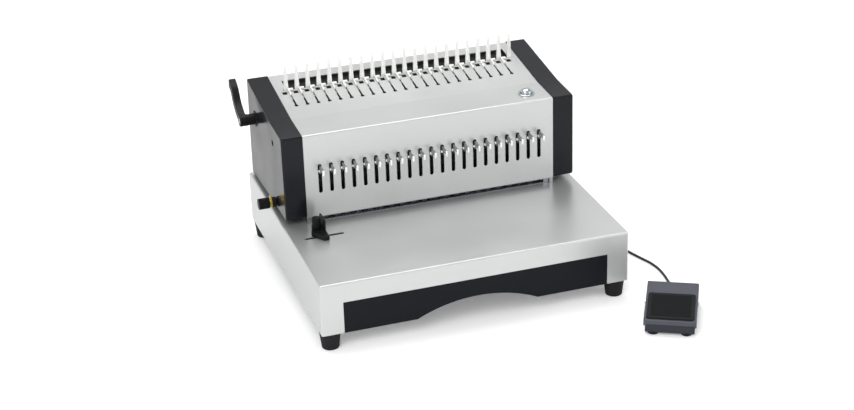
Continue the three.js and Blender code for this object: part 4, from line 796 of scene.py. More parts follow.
@dataclass
class Studio:
    """The photograph's point of view, plain soft light and a pale floor.

    The floor's lift is the glow that the camera alone sees on it, near the machine and far off, and its fade gives
    the distances in between. The horizon and zenith are the heights of a view ray where the mirrored sky is white
    and where it has its overhead tone.
    """

    position: Place = (-0.66467, -1.90594, 1.0632)
    azimuth: float = 17.862
    elevation: float = 25.432
    roll: float = -1.719
    lens: float = 76.67
    sensor: float = 36.0
    clip: Point = (0.05, 60.0)
    floor_reach: float = 12.0
    floor_tone: float = 0.90
    floor_roughness: float = 0.9
    floor_lift: Point = (0.2, 0.55)
    floor_fade: Point = (0.9, 4.0)
    sky: float = 0.56
    overhead: float = 0.55
    horizon: float = 0.05
    zenith: float = 0.75
    aim: Place = (0.0, 0.0, 0.1)
    lamps: tuple[Lamp, ...] = (
        Lamp("key", (-1.5, -1.7, 2.0), (1.6, 1.6), 38.0),
        Lamp("fill", (1.9, -1.4, 1.3), (1.8, 1.6), 17.0),
        Lamp("top", (0.0, 0.7, 2.4), (2.2, 1.6), 32.0),
    )

    def camera(self) -> None:
        """Make the camera at the photograph's place."""
        turn, dip, tilt = (math.radians(a) for a in (self.azimuth, self.elevation, self.roll))
        forward = Vector((math.sin(turn) * math.cos(dip), math.cos(turn) * math.cos(dip), -math.sin(dip)))
        right = Vector((math.cos(turn), -math.sin(turn), 0.0))
        up = right.cross(forward)
        tilted_right = right * math.cos(tilt) + up * math.sin(tilt)
        tilted_up = up * math.cos(tilt) - right * math.sin(tilt)
        data = bpy.data.cameras.new("camera")
        data.sensor_width = self.sensor
        data.sensor_fit = "HORIZONTAL"
        data.lens = self.lens
        data.clip_start, data.clip_end = self.clip
        camera = bpy.data.objects.new("camera", data)
        axes = Matrix((tilted_right, tilted_up, -forward)).transposed().to_4x4()
        camera.matrix_world = Matrix.Translation(self.position) @ axes
        bpy.context.scene.collection.objects.link(camera)
        bpy.context.scene.camera = camera

    def lights(self) -> None:
        """Hang the lamps and set the sky: white to the camera, fading overhead in gloss, and even as a light."""
        for lamp in self.lamps:
            lamp.hang(self.aim)
        world = bpy.data.worlds.new("sky")
        bpy.context.scene.world = world
        world.use_nodes = True
        tree = world.node_tree
        for node in list(tree.nodes):
            tree.nodes.remove(node)
        rays = tree.nodes.new("ShaderNodeLightPath").outputs
        place = added(tree, "ShaderNodeTexCoord", "Generated", {})
        up = added(tree, "ShaderNodeSeparateXYZ", "Z", {"Vector": place})
        fade = map_range(tree, up, (self.horizon, self.zenith), (1.0, self.overhead))
        whiter = self._larger(tree, rays["Is Camera Ray"], fade)
        mirrored = self._larger(tree, rays["Is Glossy Ray"], rays["Is Transmission Ray"])
        light, seen = (
            added(tree, "ShaderNodeBackground", "Background", {"Color": (1.0, 1.0, 1.0, 1.0), "Strength": strength})
            for strength in (self.sky, whiter)
        )
        chosen = self._larger(tree, rays["Is Camera Ray"], mirrored)
        mix = added(tree, "ShaderNodeMixShader", "Shader", {"Fac": chosen, 1: light, 2: seen})
        tree.links.new(mix, tree.nodes.new("ShaderNodeOutputWorld").inputs["Surface"])

    @staticmethod
    def _larger(tree: Tree, first: Socket, second: Socket) -> Socket:
        """Return the larger of two values."""
        return added(tree, "ShaderNodeMath", "Value", {0: first, 1: second}, operation="MAXIMUM")

    def floor(self) -> None:
        """Lay the pale floor, which the camera sees a little brighter, most of all far off, where no lamp reaches."""
        mesh = bmesh.new()
        bmesh.ops.create_grid(mesh, x_segments=1, y_segments=1, size=self.floor_reach)
        data = bpy.data.meshes.new("floor")
        mesh.to_mesh(data)
        mesh.free()
        material = bpy.data.materials.new("pale_floor")
        material.use_nodes = True
        tree = material.node_tree
        place = added(tree, "ShaderNodeTexCoord", "Object", {})
        reach = added(tree, "ShaderNodeVectorMath", "Value", {0: place}, operation="LENGTH")
        fade = map_range(tree, reach, self.floor_fade, self.floor_lift)
        seen = added(tree, "ShaderNodeLightPath", "Is Camera Ray", {})
        fill(tree, tree.nodes["Principled BSDF"], {
            "Base Color": (self.floor_tone, self.floor_tone, self.floor_tone, 1.0),
            "Roughness": self.floor_roughness, "Specular IOR Level": 0.0, "Emission Color": (1.0, 1.0, 1.0, 1.0),
            "Emission Strength": added(tree, "ShaderNodeMath", "Value", {0: seen, 1: fade}, operation="MULTIPLY"),
        })
        data.materials.append(material)
        floor = bpy.data.objects.new("floor", data)
        bpy.context.scene.collection.objects.link(floor)

    def set_up(self) -> None:
        """Set the colour view, and make the camera, lights and floor."""
        bpy.context.scene.view_settings.view_transform = "Standard"
        self.camera()
        self.lights()
        self.floor()


# The pedal's cord


@dataclass
class PedalCord:
    """The thin cord from the machine's back to the pedal, its spare length in a coil behind the machine.

    The coil lies in layers that run inwards and outwards in turn. Over the climb, in turns, the cord steps up to the
    next layer. The straights are how far the listed points stay from the coil's two ends.
    """

    diameter: float = 3.2
    resolution: int = 3
    rest: float = 1.7
    gland: Place = (GLAND_PLACE[0], BASE_DEPTH, GLAND_PLACE[1])
    gland_length: float = 10.3
    coil_centre: Point = (222.0, 300.0)
    coil_turns: int = 8
    coil_layers: int = 4
    coil_pitch: float = 3.65
    coil_inner: float = 14.2
    climb: float = 0.5
    turn_steps: int = 36
    straights: Point = (3.5, 9.9)
    grommet: Place = (PEDAL_MIDDLE, 92.3, 9.0)
    grommet_exit: float = 6.4

    def coil_point(self, turn: float) -> Vector:
        """Return the coil's middle line after a number of turns."""
        per_layer = self.coil_turns / self.coil_layers
        outer = self.coil_inner + per_layer * self.coil_pitch
        layer = min(int(turn / per_layer), self.coil_layers - 1)
        within = turn / per_layer - layer
        share = within if layer % 2 == 0 else 1 - within
        radius = outer + (self.coil_inner - outer) * share
        height = float(layer)
        for change in range(1, self.coil_layers):
            offset = turn - change * per_layer
            if abs(offset) < self.climb / 2:
                step = offset / self.climb + 0.5
                height = change - 1 + step * step * (3 - 2 * step)
        angle = -2 * math.pi * turn
        x, y = self.coil_centre
        return Vector((
            x + radius * math.cos(angle), y + radius * math.sin(angle), self.rest + height * self.coil_pitch,
        ))

    def route(self) -> list[Vector]:
        """Return the cord's middle line from the machine to the pedal."""
        x, y, z = self.gland
        mouth = y + self.gland_length
        rest = self.rest
        near, far = self.straights
        start, end = self.coil_point(0), self.coil_point(self.coil_turns)
        lead = [
            (x, mouth, z), (x, mouth + 2 * self.diameter, z), (167.2, 371.5, 40.5), (172.4, 379.5, 27.0),
            (181.5, 383.8, 11.0), (194.5, 383.4, 3.0), (208.0, 378.2, rest), (222.0, 367.0, rest),
            (233.4, 350.8, rest), (241.2, 331.0, rest), (start.x, start.y + far, rest), (start.x, start.y + near, rest),
        ]
        tail = [
            (end.x, end.y - near, end.z), (end.x, end.y - far, end.z), (243.7, 276.0, 10.2), (242.8, 262.0, 5.2),
            (240.4, 246.0, 2.0), (236.2, 222.0, rest), (233.0, 196.0, rest), (232.4, 168.0, rest),
            (235.4, 138.0, rest), (242.6, 105.0, rest), (249.9, 82.3, rest), (254.8, 67.9, rest),
            (257.6, 49.7, rest), (257.0, 32.4, rest), (254.7, 14.5, rest), (252.4, 4.0, 3.0),
        ]
        coil = [self.coil_point(i / self.turn_steps) for i in range(self.coil_turns * self.turn_steps + 1)]
        side = Vector((math.cos(PEDAL_TURN), math.sin(PEDAL_TURN), 0.0))
        back = Vector((-side.y, side.x, 0.0))
        reach, along, height = self.grommet
        grommet = Vector((*PEDAL_PLACE, height)) + side * reach + back * along
        ending = [Vector(p) for p in tail] + [grommet + back * self.grommet_exit, grommet]
        return self._curved([Vector(p) for p in lead]) + coil + self._curved(ending)

    @staticmethod
    def _curved(points: Sequence[Vector], steps: int = 6) -> list[Vector]:
        """Run a smooth curve through given points.

        Args:
            points: The points that it passes.
            steps: Places on it from one point to the next.

        Returns:
            The curve's points.
        """
        padded = [points[0] * 2 - points[1], *points, points[-1] * 2 - points[-2]]
        line: list[Vector] = []
        for i in range(1, len(padded) - 2):
            before, start, end, after = padded[i - 1:i + 3]
            first, middle, last = ((b - a).length ** 0.5 for a, b in ((before, start), (start, end), (end, after)))
            leave = end - start + ((start - before) / first - (end - before) / (first + middle)) * middle
            arrive = end - start + ((after - end) / last - (after - start) / (middle + last)) * middle
            for j in range(steps):
                t = j / steps
                line.append(
                    start * (2 * t ** 3 - 3 * t ** 2 + 1) + leave * (t ** 3 - 2 * t ** 2 + t)
                    + end * (3 * t ** 2 - 2 * t ** 3) + arrive * (t ** 3 - t ** 2)
                )
        line.append(points[-1])
        return line

    def build(self) -> None:
        """Make the cord and say what it is."""
        points = [TO_ROW @ p for p in self.route()]
        curve = wire_curve("pedal_cord", points, self.diameter * MM / 2, self.resolution)
        curve.materials.append(CORD.material())
        cord = bpy.data.objects.new("pedal_cord", curve)
        bpy.context.scene.collection.objects.link(cord)
        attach(cord, "root")
        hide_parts("cord_lead", "cord_coil", "cord_tail")
        tuple(points[0])
        LOG.info("pedal_cord: %d points", len(points))


def relief_ribs(count: int, first: Point, step: Point, heights: Place, groove: float) -> list[Point]:
    """Return the ribs of a cord's strain relief as radius and height pairs.

    Args:
        count: Number of ribs.
        first: Radius and height of the first rib.
        step: What the radius loses and the height gains from rib to rib.
        heights: Where a rib's crest ends, and where its groove starts and ends, over the rib's foot.
        groove: Depth of the groove.

    Returns:
        The profile's points.
    """
    ribs: list[Point] = []
    for i in range(count):
        reach, foot = first[0] - i * step[0], first[1] + i * step[1]
        crest, low, high = (foot + height for height in heights)
        ribs += [(reach, foot), (reach, crest), (reach - groove, low), (reach - groove, high)]
    return ribs


# The machine's sub-assemblies


@dataclass
class Base:
    """The folded base with its feet, pan and cord gland.

    The opening gives half its width, its height and its depth. The punch gap gives half its width, then its front
    and back, then the heights between which it is cut. The guide slot gives its Y, its two ends in X and its width.
    The inlet hole gives its sides, then its heights. The pan box gives half its width, its underside, its lip, its
    front and its back, and the pan's notch half its width and the Y that it reaches. The guide cut gives its cutter's
    underside and height, and the foot screw its radius, its height and its seat.
    """

    width: float = 387.0
    depth: float = BASE_DEPTH
    bottom: float = 22.0
    top: float = 87.3
    sheet: float = 1.5
    bend: float = 2.4
    opening: Place = (166.0, 62.0, 12.0)
    punch_gap: Sizes = (158.2, 169.7, 188.3, 70.0, 100.0)
    guide_slot: Sizes = (126.0, -177.0, -127.0, 5.0)
    guide_cut: Point = (77.0, 20.0)
    inlet_hole: Sizes = (-133.8, -106.2, 31.7, 76.3)
    gland_hole: float = 4.9
    gland_bore: float = 1.75
    overrun: float = 8.0
    foot_radii: Point = (13.0, 10.5)
    foot_screw: Place = (3.6, 1.4, 2.95)
    feet: tuple[tuple[str, float, float], ...] = (
        ("front_left_foot", -180.5, 13.0), ("front_right_foot", 180.5, 13.0),
        ("rear_left_foot", -180.5, 330.0), ("rear_right_foot", 180.5, 330.0),
    )
    pan_box: Sizes = (191.7, 22.0, 12.0, 3.8, 341.8)
    pan_bend: float = 2.0
    pan_notch: Point = (79.0, 36.0)

    def shell(self) -> None:
        """Fold the base sheet and cut its openings."""
        mesh = bmesh.new()
        size = (self.width, self.depth, self.top - self.bottom)
        middle = (0.0, self.depth / 2, (self.top + self.bottom) / 2)
        bmesh.ops.create_cube(mesh, size=1.0, matrix=Matrix.Translation(middle) @ Matrix.Diagonal((*size, 1)))
        upper = [e for e in mesh.edges if max(v.co.z for v in e.verts) > self.bottom + 1]
        bmesh.ops.bevel(mesh, geom=upper, offset=self.bend, segments=6, profile=0.5, affect="EDGES")
        under = [f for f in mesh.faces if f.normal.z < -0.9]
        bmesh.ops.delete(mesh, geom=under, context="FACES")
        past = self.overrun
        reach, rise, inside = self.opening
        gap, gap_front, gap_back, gap_low, gap_high = self.punch_gap
        left, right, low, high = self.inlet_hole
        slot = [(y, x) for x, y in long_slot(*self.guide_slot)]
        slot_low, slot_depth = self.guide_cut
        x, z = GLAND_PLACE
        cutters = [
            rounded_box((-reach, -past, 0), (reach, inside, rise), 0.6, 2),
            rounded_box((-gap, gap_front, gap_low), (gap, gap_back, gap_high), 0.3, 1),
            stood(slot, slot_depth, Stand.FLAT, slot_low, rim=0.1, steps=1),
            rounded_box((left, self.depth - past, low), (right, self.depth + past, high), 0.3, 1),
            rod(self.gland_hole, -past, past, 24, laid((x, self.depth, z), "X")),
        ]
        folded = reshaped(mesh, cutters, shell=self.sheet, soften=0.25)
        finished("base_sheet", folded, SHEET, "root", ("base_shell",), "base_sheet")

    def stand(self) -> None:
        """Turn the rubber feet, each with its screw."""
        wide, narrow = self.foot_radii
        profile = [
            (0.0, 3.0), (4.2, 3.0), (4.6, 0.6), (5.2, 0.0), *arc(narrow - 1.6, 1.6, 1.6, -QUARTER, 0, 5),
            (wide - 0.5, self.bottom - 3.2), *arc(wide - 0.8, self.bottom - 1.1, 0.8, 0, QUARTER, 4),
            (0.0, self.bottom - 0.3),
        ]
        radius, height, seat = self.foot_screw
        for name, x, y in self.feet:
            foot = turned(profile, 48, Matrix.Translation((x, y, 0)))
            finished(name.replace("foot", "rubber_foot"), foot, RUBBER, "root", (name,), "foot_rubber")
            head = moved(screw_head(radius, height), laid((x, y, seat), "X", math.pi))
            finished(name.replace("foot", "foot_screw"), head, STEEL, "root", slot="zinc_sheet")

    def gland(self) -> None:
        """Turn the ribbed strain relief of the cord."""
        bore = self.gland_bore
        ribs = relief_ribs(4, (4.3, 3.0), (0.35, 1.7), (0.9, 1.05, 1.65), 0.8)
        profile = [
            (bore, -3.5), (4.5, -3.5), (4.5, 0.3), (6.0, 0.3), (6.0, 1.4), (5.4, 2.0), (4.6, 2.2), *ribs,
            (2.7, 9.9), (2.3, 10.0), (bore, 10.0), (bore, -3.5),
        ]
        x, z = GLAND_PLACE
        relief = turned(profile, 32, laid((x, self.depth, z), "X", -QUARTER))
        finished("cord_strain_relief", relief, RUBBER, "root", ("cord_gland",), "foot_rubber")

    def pan(self) -> None:
        """Fold the bottom pan, notched behind the drawer's arch so that fingers reach the panel."""
        half, low, lip, front, back = self.pan_box
        profile = BentProfile(((half, low + lip), (half, low), (-half, low), (-half, low + lip)), self.pan_bend)
        middle = profile.length / 2
        reach, depth = self.pan_notch
        outline = rounded([
            (-back, 0.0), (-front, 0.0), (-front, middle - reach), (-depth, middle - reach), (-depth, middle + reach),
            (-front, middle + reach), (-front, profile.length), (-back, profile.length),
        ], [2.0, 2.0, 3.0, 8.0, 8.0, 3.0, 2.0, 2.0], 5)
        flat = plate(outline, self.sheet, rim=0.2)
        # The pan is folded along X, so the profile's depth axis is turned there
        depth_to_x = Matrix(((0, 1, 0, 0), (-1, 0, 0, 0), (0, 0, 1, 0), (0, 0, 0, 1)))
        pan = moved(profile.folded(flat, self.sheet), depth_to_x)
        finished("pan_sheet", pan, PAN, "root", ("bottom_pan",), "zinc_sheet")

    def build(self) -> None:
        """Build and dress the base."""
        self.shell()
        self.stand()
        self.gland()
        self.pan()


@dataclass
class ChipDrawer:
    """The black drawer: an arched front panel and its chip tray.

    The tray gives half its width, its back, its underside and its rim. The step gives the depth and height of the
    shelf behind the panel. The finger room gives half the width, the back and the top of the space behind the arch.
    """

    half_width: float = 165.7
    bottom: float = 21.2
    top: float = 61.7
    front: float = 1.0
    thickness: float = 2.5
    arch_half: float = 76.0
    arch_rise: float = 17.0
    tray: Sizes = (150.0, 232.0, 23.8, 58.0)
    wall: float = 2.0
    overlap: float = 0.2
    step: Point = (28.6, 41.6)
    finger_room: Place = (80.0, 28.0, 39.5)
    overrun: Point = (9.0, 6.0)

    def panel(self) -> Mesh:
        """Cut the front panel with its arched finger opening."""
        radius = (self.arch_half ** 2 + self.arch_rise ** 2) / (2 * self.arch_rise)
        angle = math.asin(self.arch_half / radius)
        arch = arc(0.0, self.bottom + self.arch_rise - radius, radius, QUARTER + angle, QUARTER - angle, 40)
        outline = [
            (-self.half_width, self.top), (-self.half_width, self.bottom), *arch,
            (self.half_width, self.bottom), (self.half_width, self.top),
        ]
        return stood(outline, self.thickness, Stand.FRONT, self.front + self.thickness, rim=0.5, steps=3)

    def build(self) -> None:
        """Build and dress the drawer."""
        half, back, floor, rim = self.tray
        start = self.front + self.thickness - self.overlap
        wall = self.wall
        step_depth, step_height = self.step
        room, room_back, room_top = self.finger_room
        over, under = self.overrun
        inner = (half - wall, back - wall, rim + over)
        tray = reshaped(rounded_box((-half, start, floor), (half, back, rim), 1.0, 2), [
            rounded_box((wall - half, start + step_depth, floor + wall), inner, 1.0, 2),
            rounded_box((wall - half, start + wall, step_height), inner, 1.0, 2),
            rounded_box((-room, start - under, floor - under), (room, room_back, room_top), 0.8, 2),
        ])
        for name, mesh in (("drawer_tray", tray), ("drawer_front", self.panel())):
            finished(name, mesh, DRAWER, "drawer", ("chip_drawer",), "drawer_plastic")


@dataclass
class Housing:
    """The folded cover with its slots, and the two moulded end caps.

    A comb slot gives its width, the radius of its round end and that end's Y. A sight hole gives how far it lies
    beside its finger, its width, its front and its back. The window gives its sides, its front and its back, and is
    narrower behind its step. Each cap hole gives its Y, its Z and its radius, and the cap cut its cutters' middle and
    reach across. The cap's foot gives the height of its lower back corner, and the corner in front of that.
    """

    path: tuple[Point, ...] = ((164.4, 95.5), STRIP_FRONT, DECK_CREASE, DECK_REAR, (338.6, 87.6))
    width: float = 324.4
    sheet: float = 1.5
    bend: float = 2.5
    slot_ends: Point = (126.3, 164.5)
    slot_width: float = 4.7
    comb_slot: Place = (2.3, 2.5, 249.4)
    sight: Sizes = (4.1, 6.0, 279.5, 287.0)
    window: Sizes = (-151.9, 155.4, 290.0, 316.0)
    window_rear: Point = (-148.4, 151.0)
    window_step: float = 5.6
    button_hole: float = 9.3
    cap_inner: float = 162.5
    cap_outer: float = 189.2
    cap_proud: float = 0.8
    cap_edge: float = 2.0
    cap_wall: float = 2.5
    cap_foot: tuple[float, Point] = (88.9, (263.0, 93.3))
    cap_corners: Sizes = (4.5, 3.2, 0.0, 3.2, 3.2, 0.0)
    cap_holes: tuple[Place, ...] = ((299.0, 179.9, 5.3), (210.0, 103.0, 4.3), (210.0, 182.0, 4.0))
    cap_cut: Point = (-180.0, 40.0)

    def _deck_holes(self, profile: BentProfile) -> list[list[Point]]:
        """Return the holes of the deck: one window whose front edge carries the comb slots, and the sight holes."""
        width, end_radius, end_y = self.comb_slot
        left, right, front, back = self.window
        half = width / 2
        start = math.asin(half / end_radius)
        mouth, end, rear = (profile.unfolded(2, along_deck(y)) for y in (front, end_y, back))
        window: list[Point] = [(left, mouth)]
        for x in HOOK_PLACES:
            round_end = arc(x, end, end_radius, QUARTER + start, 2.5 * math.pi - start, 14)
            window += [(x - half, mouth), *round_end, (x + half, mouth)]
        step = mouth + self.window_step
        left_rear, right_rear = self.window_rear
        window += [
            (right, mouth), (right, step), (right_rear, step), (right_rear, rear), (left_rear, rear), (left_rear, step),
            (left, step),
        ]
        shift, span, near, far = self.sight
        low, high = (profile.unfolded(2, along_deck(y)) for y in (near, far))
        sights = [
            rounded(rectangle(x - shift - span / 2, x - shift + span / 2, low, high), 0.5, 3) for x in FINGER_PLACES
        ]
        return [window, *sights]

    def cover(self) -> None:
        """Punch, fold and paint the cover."""
        profile = BentProfile(self.path, self.bend)
        half = self.width / 2
        low, high = (profile.unfolded(0, z - self.path[0][1]) for z in self.slot_ends)
        button_x, button_y = BUTTON_PLACE
        button = profile.unfolded(1, (button_y - STRIP_FRONT[0]) / math.cos(STRIP_SLOPE))
        holes = [
            *self._deck_holes(profile), *(long_slot(x, low, high, self.slot_width) for x in RING_PLACES),
            ring(button_x, button, self.button_hole, 36),
        ]
        flat = plate(rectangle(-half, half, 0.0, profile.length), self.sheet, holes, rim=0.3, steps=3)
        cover = profile.folded(flat, self.sheet)
        finished("cover_sheet", cover, SHEET, "root", ("housing_cover",), "cover_sheet", 38.0)

    def _cap_outline(self) -> list[Point]:
        """Return the side view of an end cap, its corners rounded."""
        points = [Vector(p) for p in self.path]
        normals = []
        for a, b in zip(points, points[1:]):
            direction = (b - a).normalized()
            normals.append(Vector((-direction.y, direction.x)))
        outer: list[Point] = []
        for i, p in enumerate(points):
            first, second = normals[max(i - 1, 0)], normals[min(i, len(normals) - 1)]
            mitre = (first + second).normalized()
            outer.append(tuple(p + mitre * (self.cap_proud / mitre.dot(first))))
        low, before = self.cap_foot
        outer[-1] = (outer[-1][0], low)
        return rounded([*outer, before], self.cap_corners, 8)

    def cap(self, side: int) -> Mesh:
        """Mould one cap.

        Args:
            side: The end that it closes, -1 for the left and 1 for the right.

        Returns:
            The cap, open on its inner side.
        """
        depth = self.cap_outer - self.cap_inner
        shell = stood(
            self._cap_outline(), depth * 2, Stand.SIDE, self.cap_outer - depth * 2, rim=self.cap_edge, steps=5
        )
        split(shell, (self.cap_inner, 0, 0), (1, 0, 0), clear_inner=True)
        if side < 0:
            bmesh.ops.scale(shell, vec=(-1, 1, 1), verts=shell.verts)
            bmesh.ops.reverse_faces(shell, faces=shell.faces)
        return shell

    def caps(self) -> None:
        """Build both caps; the left one has the holes of the opener, the margin shaft and a small access hole."""
        x, reach = self.cap_cut
        holes = [rod(radius, -reach, reach, 40, laid((x, y, z), "Y")) for y, z, radius in self.cap_holes]
        left = reshaped(self.cap(-1), holes, shell=self.cap_wall, soften=0.2)
        right = reshaped(self.cap(1), shell=self.cap_wall)
        for side, mesh in (("left", left), ("right", right)):
            finished(f"{side}_cap_moulding", mesh, CAP, "root", (f"{side}_end_cap",), "cap_plastic", 38.0)

    def build(self) -> None:
        """Build and dress the housing and what it hides."""
        self.cover()
        self.caps()
        for node, finish in (
            ("inner_frame", STEEL), ("die_set", TOOL), ("punch_ram", BLACKED), ("drive_crank", TOOL),
            ("gear_motor", MOTOR), ("control_board", LAMINATE), ("recess_channel", CHANNEL), ("depth_stop", STEEL),
        ):
            dressed(node, finish)


@dataclass
class ReleasePulls:
    """The 21 bright pulls in the front slots.

    The groove is the notch in a pull's underside, between two Y. The latch gives its two Y and its two heights. The
    glint box gives where the bright tip's front and back lie from the pull's own tip, and its underside and top from
    the pull's. The tip and the latch get a brighter finish than the blade: painted highlights.
    """

    thickness: float = 2.0
    tip_y: float = 147.6
    tail_y: float = 189.0
    bottom: float = 150.0
    top: float = 163.0
    face_y: float = 165.8
    nose: float = 2.2
    tip_height: float = 7.0
    neck_height: float = 4.6
    groove: Point = (180.25, 183.75)
    latch: Sizes = (162.6, 165.2, 154.6, 157.4)
    latch_proud: float = 1.1
    tip_proud: float = 0.25
    glint_box: Sizes = (-0.5, 1.7, -0.3, -0.4)
    curve_steps: int = 8

    def outline(self) -> list[Point]:
        """Return the side view of a pull, its lower edge arched behind the tip."""
        neck = self.top - self.neck_height
        tip = self.top - self.tip_height
        start, end = (self.tip_y + self.nose, neck), (self.face_y, self.bottom)
        middle = ((self.tip_y + self.face_y) / 2, neck)
        curve = []
        for i in range(self.curve_steps + 1):
            t = i / self.curve_steps
            curve.append(tuple(
                (1 - t) ** 2 * a + 2 * t * (1 - t) * b + t ** 2 * c for a, b, c in zip(start, middle, end)
            ))
        nose = arc(self.tip_y + self.nose, self.top - self.nose, self.nose, math.pi, QUARTER, 6)
        foot = arc(self.tip_y + self.nose / 2, tip + self.nose / 2, self.nose / 2, 0, -math.pi, 6)
        near, far = self.groove
        roof = self.bottom + self.neck_height
        return [
            *foot, *nose, (self.tail_y, self.top), (self.tail_y, self.bottom), (far, self.bottom), (far, roof),
            (near, roof), (near, self.bottom), *reversed(curve),
        ]

    def build(self) -> None:
        """Build the pulls, each on its own slide."""
        half = self.thickness / 2
        blade = stood(self.outline(), self.thickness, Stand.SIDE, -half, rim=0.4, steps=3)
        wide = half + self.tip_proud
        near, far, under, over = self.glint_box
        low = self.top - self.tip_height + under
        front, back, foot, head = self.latch
        # The tip and the latch are the blade's own steel, given the brighter finish as painted highlights where the
        # nose and the latch catch the light
        tip = merged([
            rounded_box((-wide, self.tip_y + near, low), (wide, self.tip_y + far, self.top + over), 0.8, 3),
            rounded_box((-half - self.latch_proud, front, foot), (half, back, head), 0.6, 3),
        ])
        for number, place in enumerate(across(RING_PLACES), 1):
            for form, mesh, finish in (("blade", blade, PULL), ("tip", tip, BRIGHT)):
                finished(
                    f"pull_{form}_{number:02d}", moved(mesh.copy(), place), finish, f"pull_{number:02d}",
                    (f"release_pull_{number:02d}",), "pull_steel",
                )
        blade.free()
        tip.free()


@dataclass
class CombOpener:
    """The fingers, the sliding hooks on their carriage, and the opener handle.

    A hook gives its front and back Y and its height over the deck, and its tab the reach, the depth and the height
    of its underside. The carriage gives half its width, its front Y, the Y behind its bright lip where the plate's
    blackened finish starts, painted shade under the sight holes, and the height of its top over the deck's face. A
    rack's flanks lean by the pressure angle, and its toothed part is longer by its travel. The screw gives its radius,
    its height and how deep it sits in the hub.
    """

    finger_y: float = 291.5
    finger_sheet: float = 2.5
    finger_base: float = 6.0
    finger_top_width: float = 3.3
    finger_top: float = 248.0
    finger_root: float = 12.0
    foot_back: float = 331.0
    foot_drop: float = 10.0
    foot_half: float = 157.9
    foot_bend: float = 2.8
    neck_drop: float = 2.1
    hook: Place = (276.0, 289.5, 3.2)
    hook_thickness: float = 1.6
    hook_nose: float = 2.2
    hook_root: float = -3.8
    tab: Place = (6.0, 3.2, 0.7)
    carriage: Sizes = (161.9, 268.0, 278.6, -1.8)
    carriage_sheet: float = 2.0
    rack_x: float = 140.0
    rack_width: float = 5.0
    rack_top: float = -2.8
    rack_body: float = 5.0
    travel: float = 27.0
    backlash: float = 0.125
    pressure_angle: float = math.radians(20)
    gear_module: float = 1.24
    pitch_radius: float = 15.5
    axis: Point = (299.0, 179.9)
    lever_path: tuple[Point, ...] = ((0.0, 0.0), (44.8, 15.6), (22.5, 26.2), (50.1, 33.1))
    lever_widths: Point = (10.8, 11.2)
    lever_side: float = -209.8
    lever_thickness: float = 9.0
    lever_steps: int = 32
    hub_face: float = 210.0
    screw: Place = (4.0, 1.1, 0.8)

    def fingers(self) -> None:
        """Cut the fingers and fold the foot of their plate."""
        deck = deck_height(self.finger_y)
        base = self.finger_base / 2
        tip = self.finger_top_width / 2
        shoulder = deck + self.hook[2]
        root = shoulder - self.finger_root
        outline = [
            (-base, root), (base, root), (base, shoulder), *arc(0, self.finger_top - tip, tip, 0, math.pi, 10),
            (-base, shoulder),
        ]
        sheet = self.finger_sheet
        finger = stood(outline, sheet, Stand.FRONT, self.finger_y + sheet, rim=0.45, steps=3)
        profile = BentProfile((
            (self.foot_back, deck_height(self.foot_back) - self.foot_drop), (self.finger_y, deck - self.foot_drop),
            (self.finger_y, deck - self.neck_drop),
        ), self.foot_bend)
        flat = plate(rectangle(-self.foot_half, self.foot_half, 0.0, profile.length), sheet, rim=0.3)
        bmesh.ops.scale(flat, vec=(1, 1, -1), verts=flat.verts)
        bmesh.ops.translate(flat, vec=(0, 0, sheet), verts=flat.verts)
        whole = merged([repeated(finger, across(FINGER_PLACES)), profile.folded_inwards(flat)])
        finished("comb_fingers", whole, BRIGHT, "root", ("finger_plate",), "bright_steel")

    def hooks(self) -> None:
        """Bend the hooks and make the carriage with its two racks."""
        near, far, rise = self.hook
        half = self.hook_thickness / 2
        reach, tab_depth, lift = self.tab
        width, carriage_front, shade_start_y, top = self.carriage
        front, back, start, shade_start = (along_deck(y) for y in (near, far, carriage_front, shade_start_y))
        nose = arc(front + self.hook_nose, rise - self.hook_nose, self.hook_nose, QUARTER, math.pi, 6)
        outline = [(front + 1.0, self.hook_root), (back, self.hook_root), (back, rise), *nose]
        leg = stood(outline, self.hook_thickness, Stand.SIDE, -half, rim=0.35, steps=3)
        tab = rounded_box((-half, back - tab_depth, lift), (reach, back, rise), 0.55, 3)
        hooks = repeated(merged([leg, tab]), [onto_deck() @ place for place in across(HOOK_PLACES)])
        low = top - self.carriage_sheet
        lip = moved(rounded_box((-width, start, low), (width, shade_start, top), 0.3, 2), onto_deck())
        rack = self._rack_outline(start, back)
        racks = [
            stood(rack, self.rack_width, Stand.SIDE, x - self.rack_width / 2, rim=0.2, steps=1)
            for x in (-self.rack_x, self.rack_x)
        ]
        body = moved(merged([rounded_box((-width, shade_start, low), (width, back, top), 0.3, 2), *racks]), onto_deck())
        # The plate behind the lip wears the blackened finish so that the sight holes over it read dark: painted shade
        # in the hollow under the deck
        for name, mesh, finish in (
            ("comb_hooks", hooks, BRIGHT), ("hook_carriage_lip", lip, STEEL), ("hook_carriage_shade_plate", body, BLACKED),
        ):
            finished(name, mesh, finish, "carriage", ("hook_carriage",), "hook_steel")

    def _rack_outline(self, start: float, back: float) -> list[Point]:
        """Return the side view of a rack, its teeth pointing down.

        Args:
            start: The rack's front, along the deck.
            back: Its back.

        Returns:
            The closed outline in deck coordinates.
        """
        y, z = (at - crease for at, crease in zip(self.axis, DECK_CREASE))
        along = y * math.cos(DECK_SLOPE) + z * math.sin(DECK_SLOPE)
        off = z * math.cos(DECK_SLOPE) - y * math.sin(DECK_SLOPE)
        pitch = math.pi * self.gear_module
        line = off + self.pitch_radius
        root, tip = line + 1.25 * self.gear_module, line - self.gear_module
        middle = pitch / 4 - self.backlash
        at_root, at_tip = (middle + (h - line) * math.tan(self.pressure_angle) for h in (root, tip))
        first, last = along - 2 * pitch, along + self.travel + 2 * pitch
        teeth: list[Point] = []
        for i in range(-2, int((last - first) / pitch) + 1):
            s = along + (i + 0.5) * pitch
            if s - at_root >= first and s + at_root <= last:
                teeth += [(s - at_root, root), (s - at_tip, tip), (s + at_tip, tip), (s + at_root, root)]
        under = root + self.rack_body
        return [(start, self.rack_top), (start, root), *teeth, (last, root), (last, under), (back, under),
                (back, self.rack_top)]

